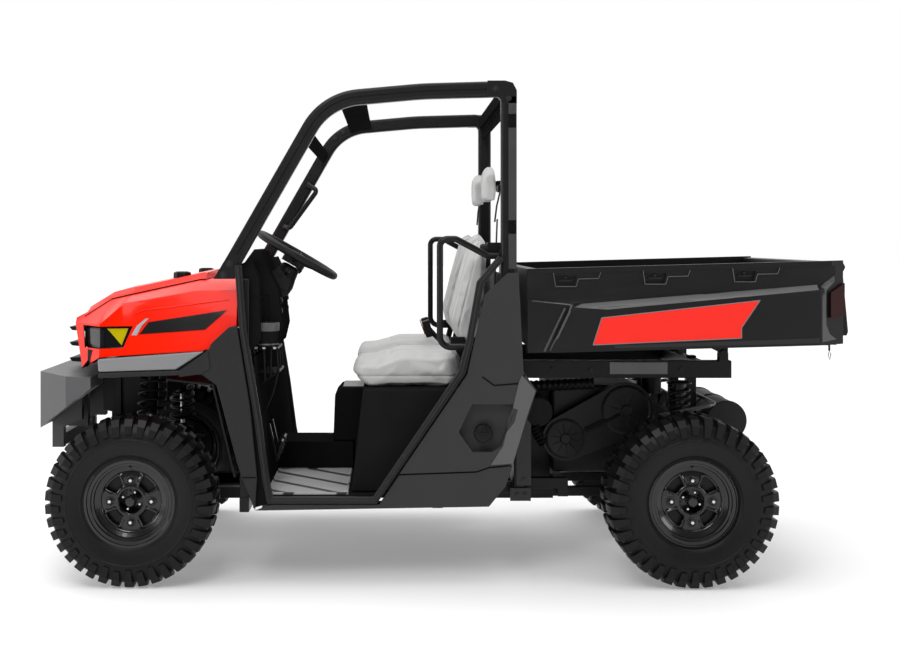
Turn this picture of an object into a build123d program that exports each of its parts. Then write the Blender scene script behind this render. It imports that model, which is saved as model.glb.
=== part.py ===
# Side by side utility vehicle: a two-seat open cab ahead of a tipping cargo bed, on four wheels.
# Millimetres. +X is forward, +Y is left, +Z is up. The origin is on the ground under the middle.
from build123d import *
import os
from math import cos, radians, sin

os.makedirs("parts", exist_ok=True)

# ---- driving dimensions ----
WHEELBASE = 2060
FRONT_AXLE_X = 1130
REAR_AXLE_X = FRONT_AXLE_X - WHEELBASE
TYRE_RADIUS = 312
HUB_Z = TYRE_RADIUS
BODY_HALF = 700  # outer skin of the side panels
SKIN = 10  # thickness of the moulded side panels

# Wheels: axle, distance of the tyre's middle from the centre plane, tyre and rim width
FRONT_TYRE_Y, FRONT_TYRE_WIDTH, FRONT_RIM_WIDTH = 630, 229, 186
REAR_TYRE_Y, REAR_TYRE_WIDTH, REAR_RIM_WIDTH = 622, 279, 210
KINGPIN_Y = 560
STEER_ARM = 85  # kingpin to tie rod pin, behind the axle
RACK_Z = HUB_Z + 48

# Frame
RAIL_LOW, RAIL_HIGH = 236, 272  # bottom and top of the main rails
CROSS_LOW, CROSS_HIGH = 268, 322  # bottom and top of the cross members
SIDE_RAIL_Z = (285, 325)
MAIN_RAIL_Y = (150, 190)
SIDE_RAIL_Y = (330, 370)
UPPER_RAIL_Y = (380, 420)
UPPER_RAIL_Z = (736, 804)

# Hood
HOOD_HINGE = (1358, 994)  # X, Z of the hinge line across the nose

# Cab
FLOOR_TOP = 334
FLOOR_SHEET = 8
TUNNEL_HALF = 130
TUNNEL_TOP = 447
SEAT_Y = 330  # middle of each seat
HOOP_Y = 660  # middle of the roll-over tubes
POST_X = -260  # middle of the rear posts

# Steering wheel, square to its column
STEER_TILT = 30
STEER_MIDDLE = (543, SEAT_Y, 1212)
STEER_AXIS = (-sin(radians(STEER_TILT)), 0, cos(radians(STEER_TILT)))

# Bed, which climbs towards the tail
BED_FRONT_X = -328
BED_CORNER_X = -1403  # where the side turns in towards the tail
BED_RISE = 0.0262  # slope of the bed
BED_INNER_HALF = 640
BED_HINGE = (-1115, 828)  # X, Z
GATE_HINGE = (-1500, 900)  # X, Z


def side_outline(points, y):
    """Face of a side-view outline, points (x, z), at the distance y left of the middle."""
    with BuildSketch(Plane.XZ.offset(-y)) as outline:
        with BuildLine():
            Polyline(*points, close=True)
        make_face()
    return outline.sketch


def side_prism(points, y_outer, y_inner, mode=Mode.ADD):
    """Solid of a side-view outline from y_outer inwards to y_inner."""
    extrude(side_outline(points, y_outer), amount=y_outer - y_inner, dir=(0, -1, 0), mode=mode)


def block(x, y, z, mode=Mode.ADD):
    """Box between the pairs of limits x, y and z."""
    middle = ((x[0] + x[1]) / 2, (y[0] + y[1]) / 2, (z[0] + z[1]) / 2)
    with Locations(middle):
        Box(abs(x[1] - x[0]), abs(y[1] - y[0]), abs(z[1] - z[0]), mode=mode)


def bar(start, end, radius, mode=Mode.ADD):
    """Round bar from point to point."""
    run = Vector(*end) - Vector(*start)
    with BuildSketch(Plane(origin=start, z_dir=run)) as section:
        Circle(radius)
    extrude(section.sketch, amount=run.length, dir=run, mode=mode)


def bent_bar(points, radius, bend):
    """Round bar along straight runs joined by arcs of the radius bend."""
    with BuildLine() as route:
        FilletPolyline(*points, radius=bend)
    with BuildSketch(Plane(origin=route.line @ 0, z_dir=route.line % 0)) as section:
        Circle(radius)
    sweep(section.sketch, path=route.line)


def cross_bar(x, z, half, radius):
    """Round bar across the vehicle."""
    bar((x, -half, z), (x, half, z), radius)


# ---- frame: welded floor rails, front bay with the cab uprights, raised rear bay ----
TOWER_X = (1237, 1275)
UPRIGHT_X = (698, 733)  # cab uprights between wheel and door
REAR_POST_X = (-345, -301)
TAIL_UPRIGHT_X = (-1060, -1020)
FRONT_RAIL_Z = (780, 812)
HOOP_FOOT_Z = (690, 726)
with BuildPart() as floor_frame:
    for x, y, z in (
        ((-1180, 1400), MAIN_RAIL_Y, (RAIL_LOW, RAIL_HIGH)),  # main rail
        ((REAR_POST_X[1], 640), SIDE_RAIL_Y, SIDE_RAIL_Z),  # side rail
        ((-518, REAR_POST_X[1]), SIDE_RAIL_Y, (298, 340)),  # its raised tail
    ):
        block(x, y, z)
    mirror(about=Plane.XZ)
    for x, half in (
        (UPRIGHT_X, 676), ((600, 640), 600), ((300, 340), 600), ((-20, 20), 600),
        (REAR_POST_X, 420), ((-518, -478), 370),
    ):
        block(x, (-half, half), (CROSS_LOW, CROSS_HIGH))
    block((1360, 1400), (-190, 190), (RAIL_LOW, RAIL_HIGH))
floor_frame.part.label = "floor_frame"
export_step(floor_frame.part, "parts/floor_frame.step")

with BuildPart() as front_frame:
    for x, y, z in (
        (UPRIGHT_X, (636, 676), (CROSS_HIGH, 1128)),
        (TOWER_X, MAIN_RAIL_Y, (RAIL_HIGH, FRONT_RAIL_Z[1])),
        ((UPRIGHT_X[0], TOWER_X[1]), MAIN_RAIL_Y, FRONT_RAIL_Z),
    ):
        block(x, y, z)
    mirror(about=Plane.XZ)
    block(UPRIGHT_X, (-676, 676), FRONT_RAIL_Z)
    block(TOWER_X, (-190, 190), FRONT_RAIL_Z)
    block((1085, 1125), (-345, 345), (795, 823))  # upper mounts of the front shocks
front_frame.part.label = "front_frame"
export_step(front_frame.part, "parts/front_frame.step")

HINGE_EYE = 18  # radius of the lugs round the bed's hinge pin
HINGE_PIN = 8
HINGE_GAP = 1  # between a hinge's leaves
BED_LUG_Y = (388, 412)
with BuildPart() as rear_frame:
    for x, y, z in (
        (REAR_POST_X, UPPER_RAIL_Y, (CROSS_HIGH, UPPER_RAIL_Z[1])),
        ((-1145, REAR_POST_X[1]), UPPER_RAIL_Y, UPPER_RAIL_Z),
        (TAIL_UPRIGHT_X, MAIN_RAIL_Y, (RAIL_HIGH, UPPER_RAIL_Z[1])),
        ((-278, -242), (SIDE_RAIL_Y[0], 680), HOOP_FOOT_Z),  # foot of the rear post
        ((REAR_POST_X[1], -242), UPPER_RAIL_Y, HOOP_FOOT_Z),
    ):
        block(x, y, z)
    hinge_x, hinge_z = BED_HINGE
    for y in ((UPPER_RAIL_Y[0], BED_LUG_Y[0] - HINGE_GAP), (BED_LUG_Y[1] + HINGE_GAP, UPPER_RAIL_Y[1])):
        block((hinge_x - HINGE_EYE, hinge_x + HINGE_EYE), y, (UPPER_RAIL_Z[1] - 4, hinge_z))
        bar((hinge_x, y[0], hinge_z), (hinge_x, y[1], hinge_z), HINGE_EYE)
    bar((hinge_x, UPPER_RAIL_Y[0], hinge_z), (hinge_x, UPPER_RAIL_Y[1], hinge_z), HINGE_PIN)
    mirror(about=Plane.XZ)
    block(TAIL_UPRIGHT_X, (-420, 420), (744, 796))
rear_frame.part.label = "rear_frame"
export_step(rear_frame.part, "parts/rear_frame.step")

# ---- engine: one block between the upper rails, and what hangs on it ----
ENGINE = ((-820, -470), (-250, 245), (342, 690))
with BuildPart() as engine_block:
    block(*ENGINE)
engine_block.part.label = "engine_block"
export_step(engine_block.part, "parts/engine_block.step")

BELT_LOBES = ((-514, 486, 90), (-755, 599, 109))  # x, z, radius
with BuildPart() as belt_cover:
    with BuildSketch(Plane.XZ.offset(-305)) as belt_outline:
        with BuildSketch(mode=Mode.PRIVATE) as lobes:
            for x, z, radius in BELT_LOBES:
                with Locations((x, z)):
                    Circle(radius)
        make_hull(lobes.sketch.edges())
    extrude(belt_outline.sketch, amount=55, dir=(0, -1, 0))
    for x, z, radius in BELT_LOBES:
        bar((x, 300, z), (x, 318, z), radius - 14)
belt_cover.part.label = "belt_cover"
export_step(belt_cover.part, "parts/belt_cover.step")

with BuildPart() as intake:
    bar((-410, 200, 588), (-410, 300, 588), 55)
    bar((-874, 205, 655), (-874, 205, 735), 40)
intake.part.label = "intake"
export_step(intake.part, "parts/intake.step")

with BuildPart() as muffler:
    bar((-1149, -190, 559), (-1149, 330, 559), 76)
muffler.part.label = "muffler"
export_step(muffler.part, "parts/muffler.step")

DRIVES = (  # axle x, gear case in x and z, end of the shaft, inner and outer boot
    (FRONT_AXLE_X, (1070, 1190), (245, 380), 500, (120, 445)),
    (REAR_AXLE_X, (-1010, -850), (245, 400), 460, (130, 400)),
)
with BuildPart() as drive_axles:
    for axle_x, case_x, case_z, reach, boots in DRIVES:
        block(case_x, (-110, 110), case_z)
        for side in (-1, 1):
            bar((axle_x, side * 110, HUB_Z), (axle_x, side * reach, HUB_Z), 13)
            for y in boots:
                bar((axle_x, side * y, HUB_Z), (axle_x, side * (y + 50), HUB_Z), 34)
drive_axles.part.label = "drive_axles"
export_step(drive_axles.part, "parts/drive_axles.step")

# ---- suspension arms: two rods to one boss at the hub carrier ----
BOSS = 18
ARMS = (  # axle x, boss y, spread in x, inner z, boss bottom and top
    (FRONT_AXLE_X, KINGPIN_Y, 100, 262, (205, 239)),
    (FRONT_AXLE_X, KINGPIN_Y, 70, 450, (391, 425)),
    (REAR_AXLE_X, 500, 90, 262, (200, 234)),
    (REAR_AXLE_X, 500, 70, 450, (391, 425)),
)
ARM_INNER_Y = 205
with BuildPart() as suspension_arms:
    for axle_x, boss_y, spread, inner_z, boss_z in ARMS:
        bar((axle_x, boss_y, boss_z[0]), (axle_x, boss_y, boss_z[1]), BOSS)
        for end in (-1, 1):
            pivot_x = axle_x + end * spread
            bar((pivot_x, ARM_INNER_Y, inner_z), (axle_x, boss_y - 6, sum(boss_z) / 2), 12)
            bar((pivot_x - 25, ARM_INNER_Y, inner_z), (pivot_x + 25, ARM_INNER_Y, inner_z), 15)
    mirror(about=Plane.XZ)
suspension_arms.part.label = "suspension_arms"
export_step(suspension_arms.part, "parts/suspension_arms.step")

# ---- shocks: a damper inside a coil of separate turns, and the two end cups ----
SHOCKS = (  # lower end, upper end, coil radius
    ((1112, 424, 446), (1108, 335, 794), 56),
    ((-945, 405, 446), (-945, 398, 736), 44),
)
COIL_TURNS, COIL_WIRE = 7, 6
with BuildPart() as shocks:
    for foot, top, coil in SHOCKS:
        run = Vector(*top) - Vector(*foot)
        along = Plane(origin=foot, z_dir=run)
        with BuildSketch(along) as damper:
            Circle(22)
        extrude(damper.sketch, amount=run.length - 4, dir=run)
        for height in (0.12, 0.92):
            with BuildSketch(along.offset(run.length * height)) as cup:
                Circle(coil + COIL_WIRE)
            extrude(cup.sketch, amount=10, dir=run)
        for turn in range(COIL_TURNS):
            height = run.length * (0.19 + 0.70 * turn / (COIL_TURNS - 1))
            with Locations(along.offset(height)):
                Torus(coil - COIL_WIRE, COIL_WIRE)
    mirror(about=Plane.XZ)
shocks.part.label = "shocks"
export_step(shocks.part, "parts/shocks.step")

with BuildPart() as rear_hub_carriers:
    bar((REAR_AXLE_X, 465, HUB_Z), (REAR_AXLE_X, 560, HUB_Z), 50)
    block((REAR_AXLE_X - 22, REAR_AXLE_X + 22), (476, 524), (238, 387))
    mirror(about=Plane.XZ)
rear_hub_carriers.part.label = "rear_hub_carriers"
export_step(rear_hub_carriers.part, "parts/rear_hub_carriers.step")

# ---- front knuckles, each turning on its kingpin, and the bar between their arms ----
for name, side in (("knuckle_left", 1), ("knuckle_right", -1)):
    with BuildPart() as knuckle:
        bar((FRONT_AXLE_X, side * KINGPIN_Y, 245), (FRONT_AXLE_X, side * KINGPIN_Y, 385), 20)
        bar((FRONT_AXLE_X, side * 532, HUB_Z), (FRONT_AXLE_X, side * 604, HUB_Z), 46)
        block((FRONT_AXLE_X - STEER_ARM - 14, FRONT_AXLE_X), (side * 542, side * 572), (371, 385))
    knuckle.part.label = name
    export_step(knuckle.part, "parts/" + name + ".step")

with BuildPart() as tie_rods:
    pin_x = FRONT_AXLE_X - STEER_ARM
    bar((pin_x, -540, RACK_Z - 8), (pin_x, 540, RACK_Z - 8), 8)
    for side in (-1, 1):
        bar((pin_x, side * 556, RACK_Z - 22), (pin_x, side * 556, RACK_Z + 4), 16)
tie_rods.part.label = "tie_rods"
export_step(tie_rods.part, "parts/tie_rods.step")

with BuildPart() as steering_rack:
    bar((pin_x, -146, RACK_Z - 8), (pin_x, 146, RACK_Z - 8), 24)
    bar((pin_x, -146, RACK_Z - 8), (pin_x, 146, RACK_Z - 8), 14, mode=Mode.SUBTRACT)
steering_rack.part.label = "steering_rack"
export_step(steering_rack.part, "parts/steering_rack.step")

# ---- wheels: faceted tyres with staggered shoulder lugs on steel rims ----
FACETS = 20
LUG_DEPTH = 15
LUG_WIDTH = 46
BEAD_RADIUS = 161
HUB_RADIUS = 45


def tyre_ring(corners, width):
    """Faceted tyre body round the Z axis; its middle plane is z = 0."""
    half = width / 2 - 6
    tread = TYRE_RADIUS - LUG_DEPTH
    for low, high, r_low, r_high in (
        (-half, -half + 40, 240, tread),
        (-half + 40, half - 40, tread, tread),
        (half - 40, half, tread, 240),
    ):
        with BuildSketch(Plane.XY.offset(low)) as first:
            RegularPolygon(r_low, corners)
        with BuildSketch(Plane.XY.offset(high)) as second:
            RegularPolygon(r_high, corners)
        loft([first.sketch, second.sketch], ruled=True)


WHEELS = (  # name, axle x, middle y, tyre width, rim width, side
    ("front_left", FRONT_AXLE_X, FRONT_TYRE_Y, FRONT_TYRE_WIDTH, FRONT_RIM_WIDTH, 1),
    ("front_right", FRONT_AXLE_X, FRONT_TYRE_Y, FRONT_TYRE_WIDTH, FRONT_RIM_WIDTH, -1),
    ("rear_left", REAR_AXLE_X, REAR_TYRE_Y, REAR_TYRE_WIDTH, REAR_RIM_WIDTH, 1),
    ("rear_right", REAR_AXLE_X, REAR_TYRE_Y, REAR_TYRE_WIDTH, REAR_RIM_WIDTH, -1),
)
for name, axle_x, middle_y, width, rim_width, side in WHEELS:
    half = width / 2
    place = Plane((axle_x, side * middle_y, HUB_Z), x_dir=(1, 0, 0), z_dir=(0, side, 0))
    bead = rim_width / 2 - 12  # distance of the bead from the tyre's middle
    with BuildPart() as tyre:
        tyre_ring(FACETS, width)
        for end in (-1, 1):
            with BuildSketch(Plane.XY.offset(end * (half - 6))) as wall:
                RegularPolygon(236, FACETS)
            with BuildSketch(Plane.XY.offset(end * bead)) as lip:
                RegularPolygon(BEAD_RADIUS + 3, FACETS)
            loft([wall.sketch, lip.sketch], ruled=True, mode=Mode.SUBTRACT)
        with BuildSketch(Plane.XY.offset(-bead)) as bore:
            RegularPolygon(BEAD_RADIUS + 3, FACETS)
        extrude(bore.sketch, amount=2 * bead, mode=Mode.SUBTRACT)
        facet = 360 / FACETS
        for end in (-1, 1):
            start = facet / 2 if end > 0 else 0
            with BuildSketch(Plane.XZ.offset(-LUG_WIDTH / 2)) as lug:
                with BuildLine():
                    Polyline(
                        (TYRE_RADIUS - LUG_DEPTH - 6, end * 12),
                        (TYRE_RADIUS, end * 12),
                        (TYRE_RADIUS, end * (half - 20)),
                        (262, end * half),
                        (244, end * (half - 8)),
                        close=True,
                    )
                make_face()
            one = extrude(lug.sketch, amount=LUG_WIDTH, dir=(0, -1, 0), mode=Mode.PRIVATE)
            with PolarLocations(0, FACETS, start_angle=start):
                add(one)
    with BuildPart(place) as placed:
        add(tyre.part)
    placed.part.label = "tyre_" + name
    export_step(placed.part, "parts/tyre_" + name + ".step")

# Steel rims: one dished revolve each, with windows, nuts and the hub behind
NUT_CIRCLE, NUT_RADIUS = 77, 10
for name, axle_x, middle_y, width, rim_width, side in WHEELS:
    lip = rim_width / 2
    place = Plane((axle_x, side * middle_y, HUB_Z), x_dir=(1, 0, 0), z_dir=(0, side, 0))
    with BuildPart() as rim:
        with BuildSketch(Plane.XZ) as section:
            with BuildLine():
                Polyline(
                    (166, lip), (166, lip - 7), (159, lip - 14), (151, lip - 36),
                    (151, 36 - lip), (159, 14 - lip), (166, 7 - lip), (166, -lip),
                    (160, -lip), (145, 34 - lip), (145, lip - 66), (120, lip - 56),
                    (48, lip - 46), (48, lip - 34), (110, lip - 36), (118, lip - 24),
                    (134, lip - 24), (142, lip - 12), (156, lip - 8), (159, lip),
                    close=True,
                )
            make_face()
        revolve(section.sketch, Axis.Z)
        with BuildSketch(Plane.XY.offset(lip - 80)) as windows:
            with PolarLocations(86, 4, start_angle=45):
                Rectangle(30, 44)
        extrude(windows.sketch, amount=90, mode=Mode.SUBTRACT)
        with BuildSketch(Plane.XY.offset(lip - 113)) as hub:
            Circle(HUB_RADIUS + 6)
        extrude(hub.sketch, amount=76)
        with BuildSketch(Plane.XY.offset(lip - 38)) as cap:
            Circle(18)
        extrude(cap.sketch, amount=24)
        with BuildSketch(Plane.XY.offset(lip - 40)) as nuts:
            with PolarLocations(NUT_CIRCLE, 4):
                RegularPolygon(NUT_RADIUS, 6)
        extrude(nuts.sketch, amount=20)
    with BuildPart(place) as placed:
        add(rim.part)
    placed.part.label = "rim_" + name
    export_step(placed.part, "parts/rim_" + name + ".step")

# ---- floor: sheet with the raised tunnel, toe board, skid plate ----
FLOOR_X = (-60, 640)
with BuildPart() as floor_pan:
    block(FLOOR_X, (-684, 684), (FLOOR_TOP - FLOOR_SHEET, FLOOR_TOP))
    block((330, 640), (-TUNNEL_HALF, TUNNEL_HALF), (FLOOR_TOP, TUNNEL_TOP))
    block((330, 632), (8 - TUNNEL_HALF, TUNNEL_HALF - 8), (341, TUNNEL_TOP - 8), mode=Mode.SUBTRACT)
    side_prism([(632, 334), (640, 334), (686, 840), (678, 840)], 628, -628)
floor_pan.part.label = "floor_pan"
export_step(floor_pan.part, "parts/floor_pan.step")

with BuildPart() as skid_plate:
    block((-480, 1360), (-190, 190), (RAIL_LOW - 8, RAIL_LOW))
skid_plate.part.label = "skid_plate"
export_step(skid_plate.part, "parts/skid_plate.step")

# ---- nose: orange cowl as a ruled shell, its lid, flares and fenders ----
COWL_SKIN = 6
HOOD_HALF = 480
COWL = (  # x, sill half and z, crease half and z, seam z, middle z
    (1378, 500, 767, 500, 955, 975, 985),
    (1246, 694, 839, 690, 960, 1043, 1052),
    (1164, 694, 846, 650, 1036, 1062, 1070),
    (904, 694, 862, 630, 1082, 1118, 1124),
    (745, 694, 869, 630, 1086, 1125, 1130),
)


def cowl_section(x, sill, sill_z, crease, crease_z, seam_z, top_z, inset=0):
    """Cross-section of the nose at x, drawn in by inset."""
    half = [
        (sill - inset, sill_z - 2 * inset),
        (crease - inset, crease_z - inset),
        (HOOD_HALF, seam_z - inset),
        (0, top_z - inset),
    ]
    loop = half + [(-y, z) for y, z in half[-2::-1]]
    with BuildSketch(Plane((x, 0, 0), x_dir=(0, 1, 0), z_dir=(1, 0, 0))) as section:
        with BuildLine():
            Polyline(*loop, close=True)
        make_face()
    return section.sketch


def nose_solid(inset, mode):
    """Ruled solid through the nose sections."""
    for front, rear in zip(COWL, COWL[1:]):
        nearer = (front[0] - (inset if front is COWL[0] else 0),) + front[1:]
        loft([cowl_section(*nearer, inset=inset), cowl_section(*rear, inset=inset)], ruled=True, mode=mode)


LAMP = [(1326, 868), (1334, 952), (1127, 953), (1159, 874)]
HOOD_OUTLINE = [(1340, 900), (1366, 1200), (880, 1200), (880, 900)]


def nose_front(depth):
    """Cuts the leaning front face, depth behind the outer skin."""
    low, high = 1335 - depth, 1378 - depth
    side_prism([(1420, 1000), (high + 10, 1000), (low - 15, 700), (1420, 700)], 720, -720, mode=Mode.SUBTRACT)


HINGE_BARREL = 6  # radius of the hood's hinge barrels
HINGE_ENDS = ((262, 277), (323, 338))  # the cowl's barrels, either side of the hood's
HINGE_NOTCH_X = HOOD_HINGE[0] + 11
hinge_x, hinge_z = HOOD_HINGE
with BuildPart() as nose_void:
    nose_solid(COWL_SKIN, Mode.ADD)
    nose_front(COWL_SKIN)
with BuildPart() as cowl:
    nose_solid(0, Mode.ADD)
    nose_front(0)
    add(nose_void.part, mode=Mode.SUBTRACT)
    block((1300, 1400), (-445, 445), (782, 938), mode=Mode.SUBTRACT)
    side_prism(HOOD_OUTLINE, HOOD_HALF, -HOOD_HALF, mode=Mode.SUBTRACT)
    side_prism(LAMP, 720, -720, mode=Mode.SUBTRACT)
    for side in (-1, 1):
        block((1340, HINGE_NOTCH_X), (side * 277, side * 323), (970, 1010), mode=Mode.SUBTRACT)
        for start, end in HINGE_ENDS:
            bar((hinge_x, side * start, hinge_z), (hinge_x, side * end, hinge_z), HINGE_BARREL)
            foot_x = (hinge_x - HINGE_BARREL, hinge_x + HINGE_BARREL)
            block(foot_x, (side * start, side * end), (982, hinge_z))
cowl.part.label = "cowl"
export_step(cowl.part, "parts/cowl.step")

LID_HALF, CREST_HALF = HOOD_HALF - 6, 420
LID_RISE = (14, 27, 27, 27, 27)  # how far the lid's crest stands over each section's seam
LATCH_X, LATCH_Y = 995, 345  # turning latches of the hood


def lid_solid(inset, mode):
    """Ruled solid of the raised lid, drawn in by inset."""
    sections = []
    for (x, _, _, _, _, seam_z, top_z), rise in zip(COWL, LID_RISE):
        half = [
            (LID_HALF - inset, seam_z - COWL_SKIN),
            (LID_HALF - inset, seam_z - inset / 2),
            (CREST_HALF - inset / 2, seam_z + rise - inset),
            (0, top_z + rise - inset),
        ]
        loop = half + [(-y, z) for y, z in half[-2::-1]]
        with BuildSketch(Plane((x, 0, 0), x_dir=(0, 1, 0), z_dir=(1, 0, 0))) as section:
            with BuildLine():
                Polyline(*loop, close=True)
            make_face()
        sections.append(section.sketch)
    for front, rear in zip(sections, sections[1:]):
        loft([front, rear], ruled=True, mode=mode)


with BuildPart() as lid_void:
    lid_solid(COWL_SKIN, Mode.ADD)
    side_prism([(1331, 900), (1335, 1200), (892, 1200), (892, 900)], 500, -500, mode=Mode.INTERSECT)
with BuildPart() as hood:
    lid_solid(0, Mode.ADD)
    add(lid_void.part, mode=Mode.SUBTRACT)
    side_prism([(1337, 960), (1341, 1200), (886, 1200), (886, 900)], 500, -500, mode=Mode.INTERSECT)
    for side in (-1, 1):
        block((1330, hinge_x), (side * 280, side * 320), (985, 993))
        bar((hinge_x, side * 278, hinge_z), (hinge_x, side * 322, hinge_z), HINGE_BARREL)
        bar((LATCH_X, side * LATCH_Y, 1122), (LATCH_X, side * LATCH_Y, 1138), 24)
        block((LATCH_X - 27, LATCH_X + 27), (side * LATCH_Y - 8, side * LATCH_Y + 8), (1132, 1147))
hood.part.label = "hood"
export_step(hood.part, "parts/hood.step")

GRILLE_BARS = ((921, 14), (860, 14), (798, 14))  # z of the middle, half height
with BuildPart() as grille:
    block((1342, 1350), (-430, 430), (790, 930))
    for z, half in GRILLE_BARS:
        blade = [(1350, z - half), (1440, z - half / 2), (1451, z + half / 2), (1350, z + half)]
        side_prism(blade, 300, -300)
grille.part.label = "grille"
export_step(grille.part, "parts/grille.step")

with BuildPart() as headlamps:
    nose_solid(14, Mode.ADD)
    side_prism([(1322, 871), (1330, 949), (1132, 950), (1162, 877)], 720, -720, mode=Mode.INTERSECT)
    block((1000, 1400), (-500, 500), (800, 1000), mode=Mode.SUBTRACT)
headlamps.part.label = "headlamps"
export_step(headlamps.part, "parts/headlamps.step")

# Silver strip over the wheel, and the dark fender that runs down behind it
FLARE = [(1246, 788), (1249, 834), (858, 863), (962, 797)]
FENDER = [
    (1246, 765), (1246, 785), (950, 794), (843, 869), (836, 889), (768, 953), (738, 958),
    (690, 662), (664, 402), (672, 280), (722, 402), (740, 461), (813, 738), (867, 778),
]
with BuildPart() as fender_flares:
    side_prism(FLARE, 712, 676)
    mirror(about=Plane.XZ)
fender_flares.part.label = "fender_flares"
export_step(fender_flares.part, "parts/fender_flares.step")

with BuildPart() as front_fenders:
    side_prism(FENDER, 712, 695)
    mirror(about=Plane.XZ)
front_fenders.part.label = "front_fenders"
export_step(front_fenders.part, "parts/front_fenders.step")

LINER = [(745, 400), (752, 400), (832, 735), (1000, 755), (1000, 762), (826, 742)]
with BuildPart() as wheel_liners:
    side_prism(LINER, 694, 230)
    mirror(about=Plane.XZ)
wheel_liners.part.label = "wheel_liners"
export_step(wheel_liners.part, "parts/wheel_liners.step")

BUMPER_PLAN = [(1525, -450), (1525, 450), (1387, 620), (1290, 640), (1290, -640), (1387, -620)]
BUMPER_SIDE = [(1525, 548), (1525, 766), (1280, 760), (1290, 720), (1386, 650)]
BUMPER_INNER = [(1517, 557), (1517, 750), (1270, 750), (1270, 700), (1390, 640)]
GUARD_STAY = [(1517, 451), (1472, 451), (1472, 529), (1400, 560), (1400, 690), (1440, 690), (1517, 560)]
with BuildPart() as front_bumper:
    with BuildSketch(Plane.XY.offset(440)) as plan:
        with BuildLine():
            Polyline(*BUMPER_PLAN, close=True)
        make_face()
    extrude(plan.sketch, amount=330)
    side_prism(BUMPER_SIDE, 700, -700, mode=Mode.INTERSECT)
    side_prism(BUMPER_INNER, 420, -420, mode=Mode.SUBTRACT)
    block((1476, 1516), (-280, 280), (452, 500))  # lower guard
    for side in (-1, 1):
        side_prism(GUARD_STAY, side * 280 + 20, side * 280 - 20)
        block((1401, 1480), (side * 150, side * 190), (520, 700))
front_bumper.part.label = "front_bumper"
export_step(front_bumper.part, "parts/front_bumper.step")

# ---- cab sides: door trim, rocker, rear panel with its filler recess ----
DOOR = [
    (735, 1179), (717, 941), (662, 611), (633, 391), (618, 318), (233, 318), (-86, 787),
    (-115, 904), (-152, 1113), (-229, 1206),
]
with BuildPart() as door_trims:
    with BuildSketch(Plane.XZ.offset(-710)) as channel:
        with BuildLine():
            Polyline(*DOOR)
        trace(line_width=26)
    extrude(channel.sketch, amount=22, dir=(0, -1, 0))
    mirror(about=Plane.XZ)
door_trims.part.label = "door_trims"
export_step(door_trims.part, "parts/door_trims.step")

REAR_PANEL = [
    (-105, 778), (-133, 905), (-169, 1069), (-253, 1151), (-293, 1151), (-311, 789),
    (-359, 720), (-269, 448), (-184, 440), (-139, 424), (144, 414),
]
FILLER = [(-128, 674), (-277, 674), (-277, 630), (-231, 509), (-197, 489), (-122, 489), (-68, 566)]
FILLER_DEPTH = 40
with BuildPart() as rear_side_panels:
    side_prism(REAR_PANEL, BODY_HALF + 6, BODY_HALF - 4)
    side_prism(FILLER, BODY_HALF + 6, BODY_HALF - FILLER_DEPTH)
    inner = [(-123, 669), (-272, 669), (-272, 632), (-228, 514), (-196, 494), (-125, 494), (-74, 567)]
    side_prism(inner, BODY_HALF + 6, BODY_HALF + 6 - FILLER_DEPTH, mode=Mode.SUBTRACT)
    mirror(about=Plane.XZ)
rear_side_panels.part.label = "rear_side_panels"
export_step(rear_side_panels.part, "parts/rear_side_panels.step")

with BuildPart() as fuel_cap:
    bar((-165, BODY_HALF + 6 - FILLER_DEPTH, 561), (-165, BODY_HALF - 4, 561), 32)
fuel_cap.part.label = "fuel_cap"
export_step(fuel_cap.part, "parts/fuel_cap.step")

ROCKER = [
    (672, 279), (640, 279), (-185, 293), (-246, 368), (-271, 442), (-184, 434), (-139, 418),
    (145, 408), (218, 301), (612, 301),
]
ROCKER_FLANGE = [(650, 279), (640, 279), (-185, 293), (-185, 303), (640, 289), (650, 289)]
with BuildPart() as rocker_panels:
    side_prism(ROCKER, BODY_HALF, BODY_HALF - SKIN)
    side_prism(ROCKER_FLANGE, BODY_HALF - SKIN, 600)
    mirror(about=Plane.XZ)
rocker_panels.part.label = "rocker_panels"
export_step(rocker_panels.part, "parts/rocker_panels.step")

with BuildPart() as cab_rear_panel:
    block((-241, -233), (-628, 628), (345, 1148))
cab_rear_panel.part.label = "cab_rear_panel"
export_step(cab_rear_panel.part, "parts/cab_rear_panel.step")

# ---- dashboard: full-width moulding, the driver's pod on it, glove box and cup holder ----
DASH = [(739, 1140), (739, 1180), (700, 1196), (668, 1130), (658, 900), (690, 862), (739, 870)]
POD = [(735, 1180), (694, 1236), (672, 1228), (640, 1150), (604, 1080), (588, 940), (604, 872), (690, 866)]
POD_Y = (130, 526)
CUP_PLACE = (640, 570)  # x, y of the cup holder
CUP_OUTER, CUP_INNER = 43, 38
CUP_Z = (871, 960)
with BuildPart() as dashboard:
    side_prism(DASH, 628, -628)
    side_prism(POD, POD_Y[1], POD_Y[0])
    block((640, 715), (-520, -140), (1000, 1100), mode=Mode.SUBTRACT)  # glove box
    bar((*CUP_PLACE, CUP_Z[0]), (*CUP_PLACE, CUP_Z[1]), CUP_OUTER)
    bar((*CUP_PLACE, CUP_Z[0] + 8), (*CUP_PLACE, CUP_Z[1] + 200), CUP_INNER, mode=Mode.SUBTRACT)
    bar(STEER_MIDDLE, tuple(Vector(*STEER_MIDDLE) - Vector(*STEER_AXIS) * 260), 31, mode=Mode.SUBTRACT)
dashboard.part.label = "dashboard"
export_step(dashboard.part, "parts/dashboard.step")

# ---- seats on their base ----
BASE = [(322, FLOOR_TOP), (279, 717), (-90, 717), (-90, 640), (-60, 345), (-60, FLOOR_TOP)]
with BuildPart() as seat_base:
    side_prism(BASE, 640, 136)
    mirror(about=Plane.XZ)
seat_base.part.label = "seat_base"
export_step(seat_base.part, "parts/seat_base.step")

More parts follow.
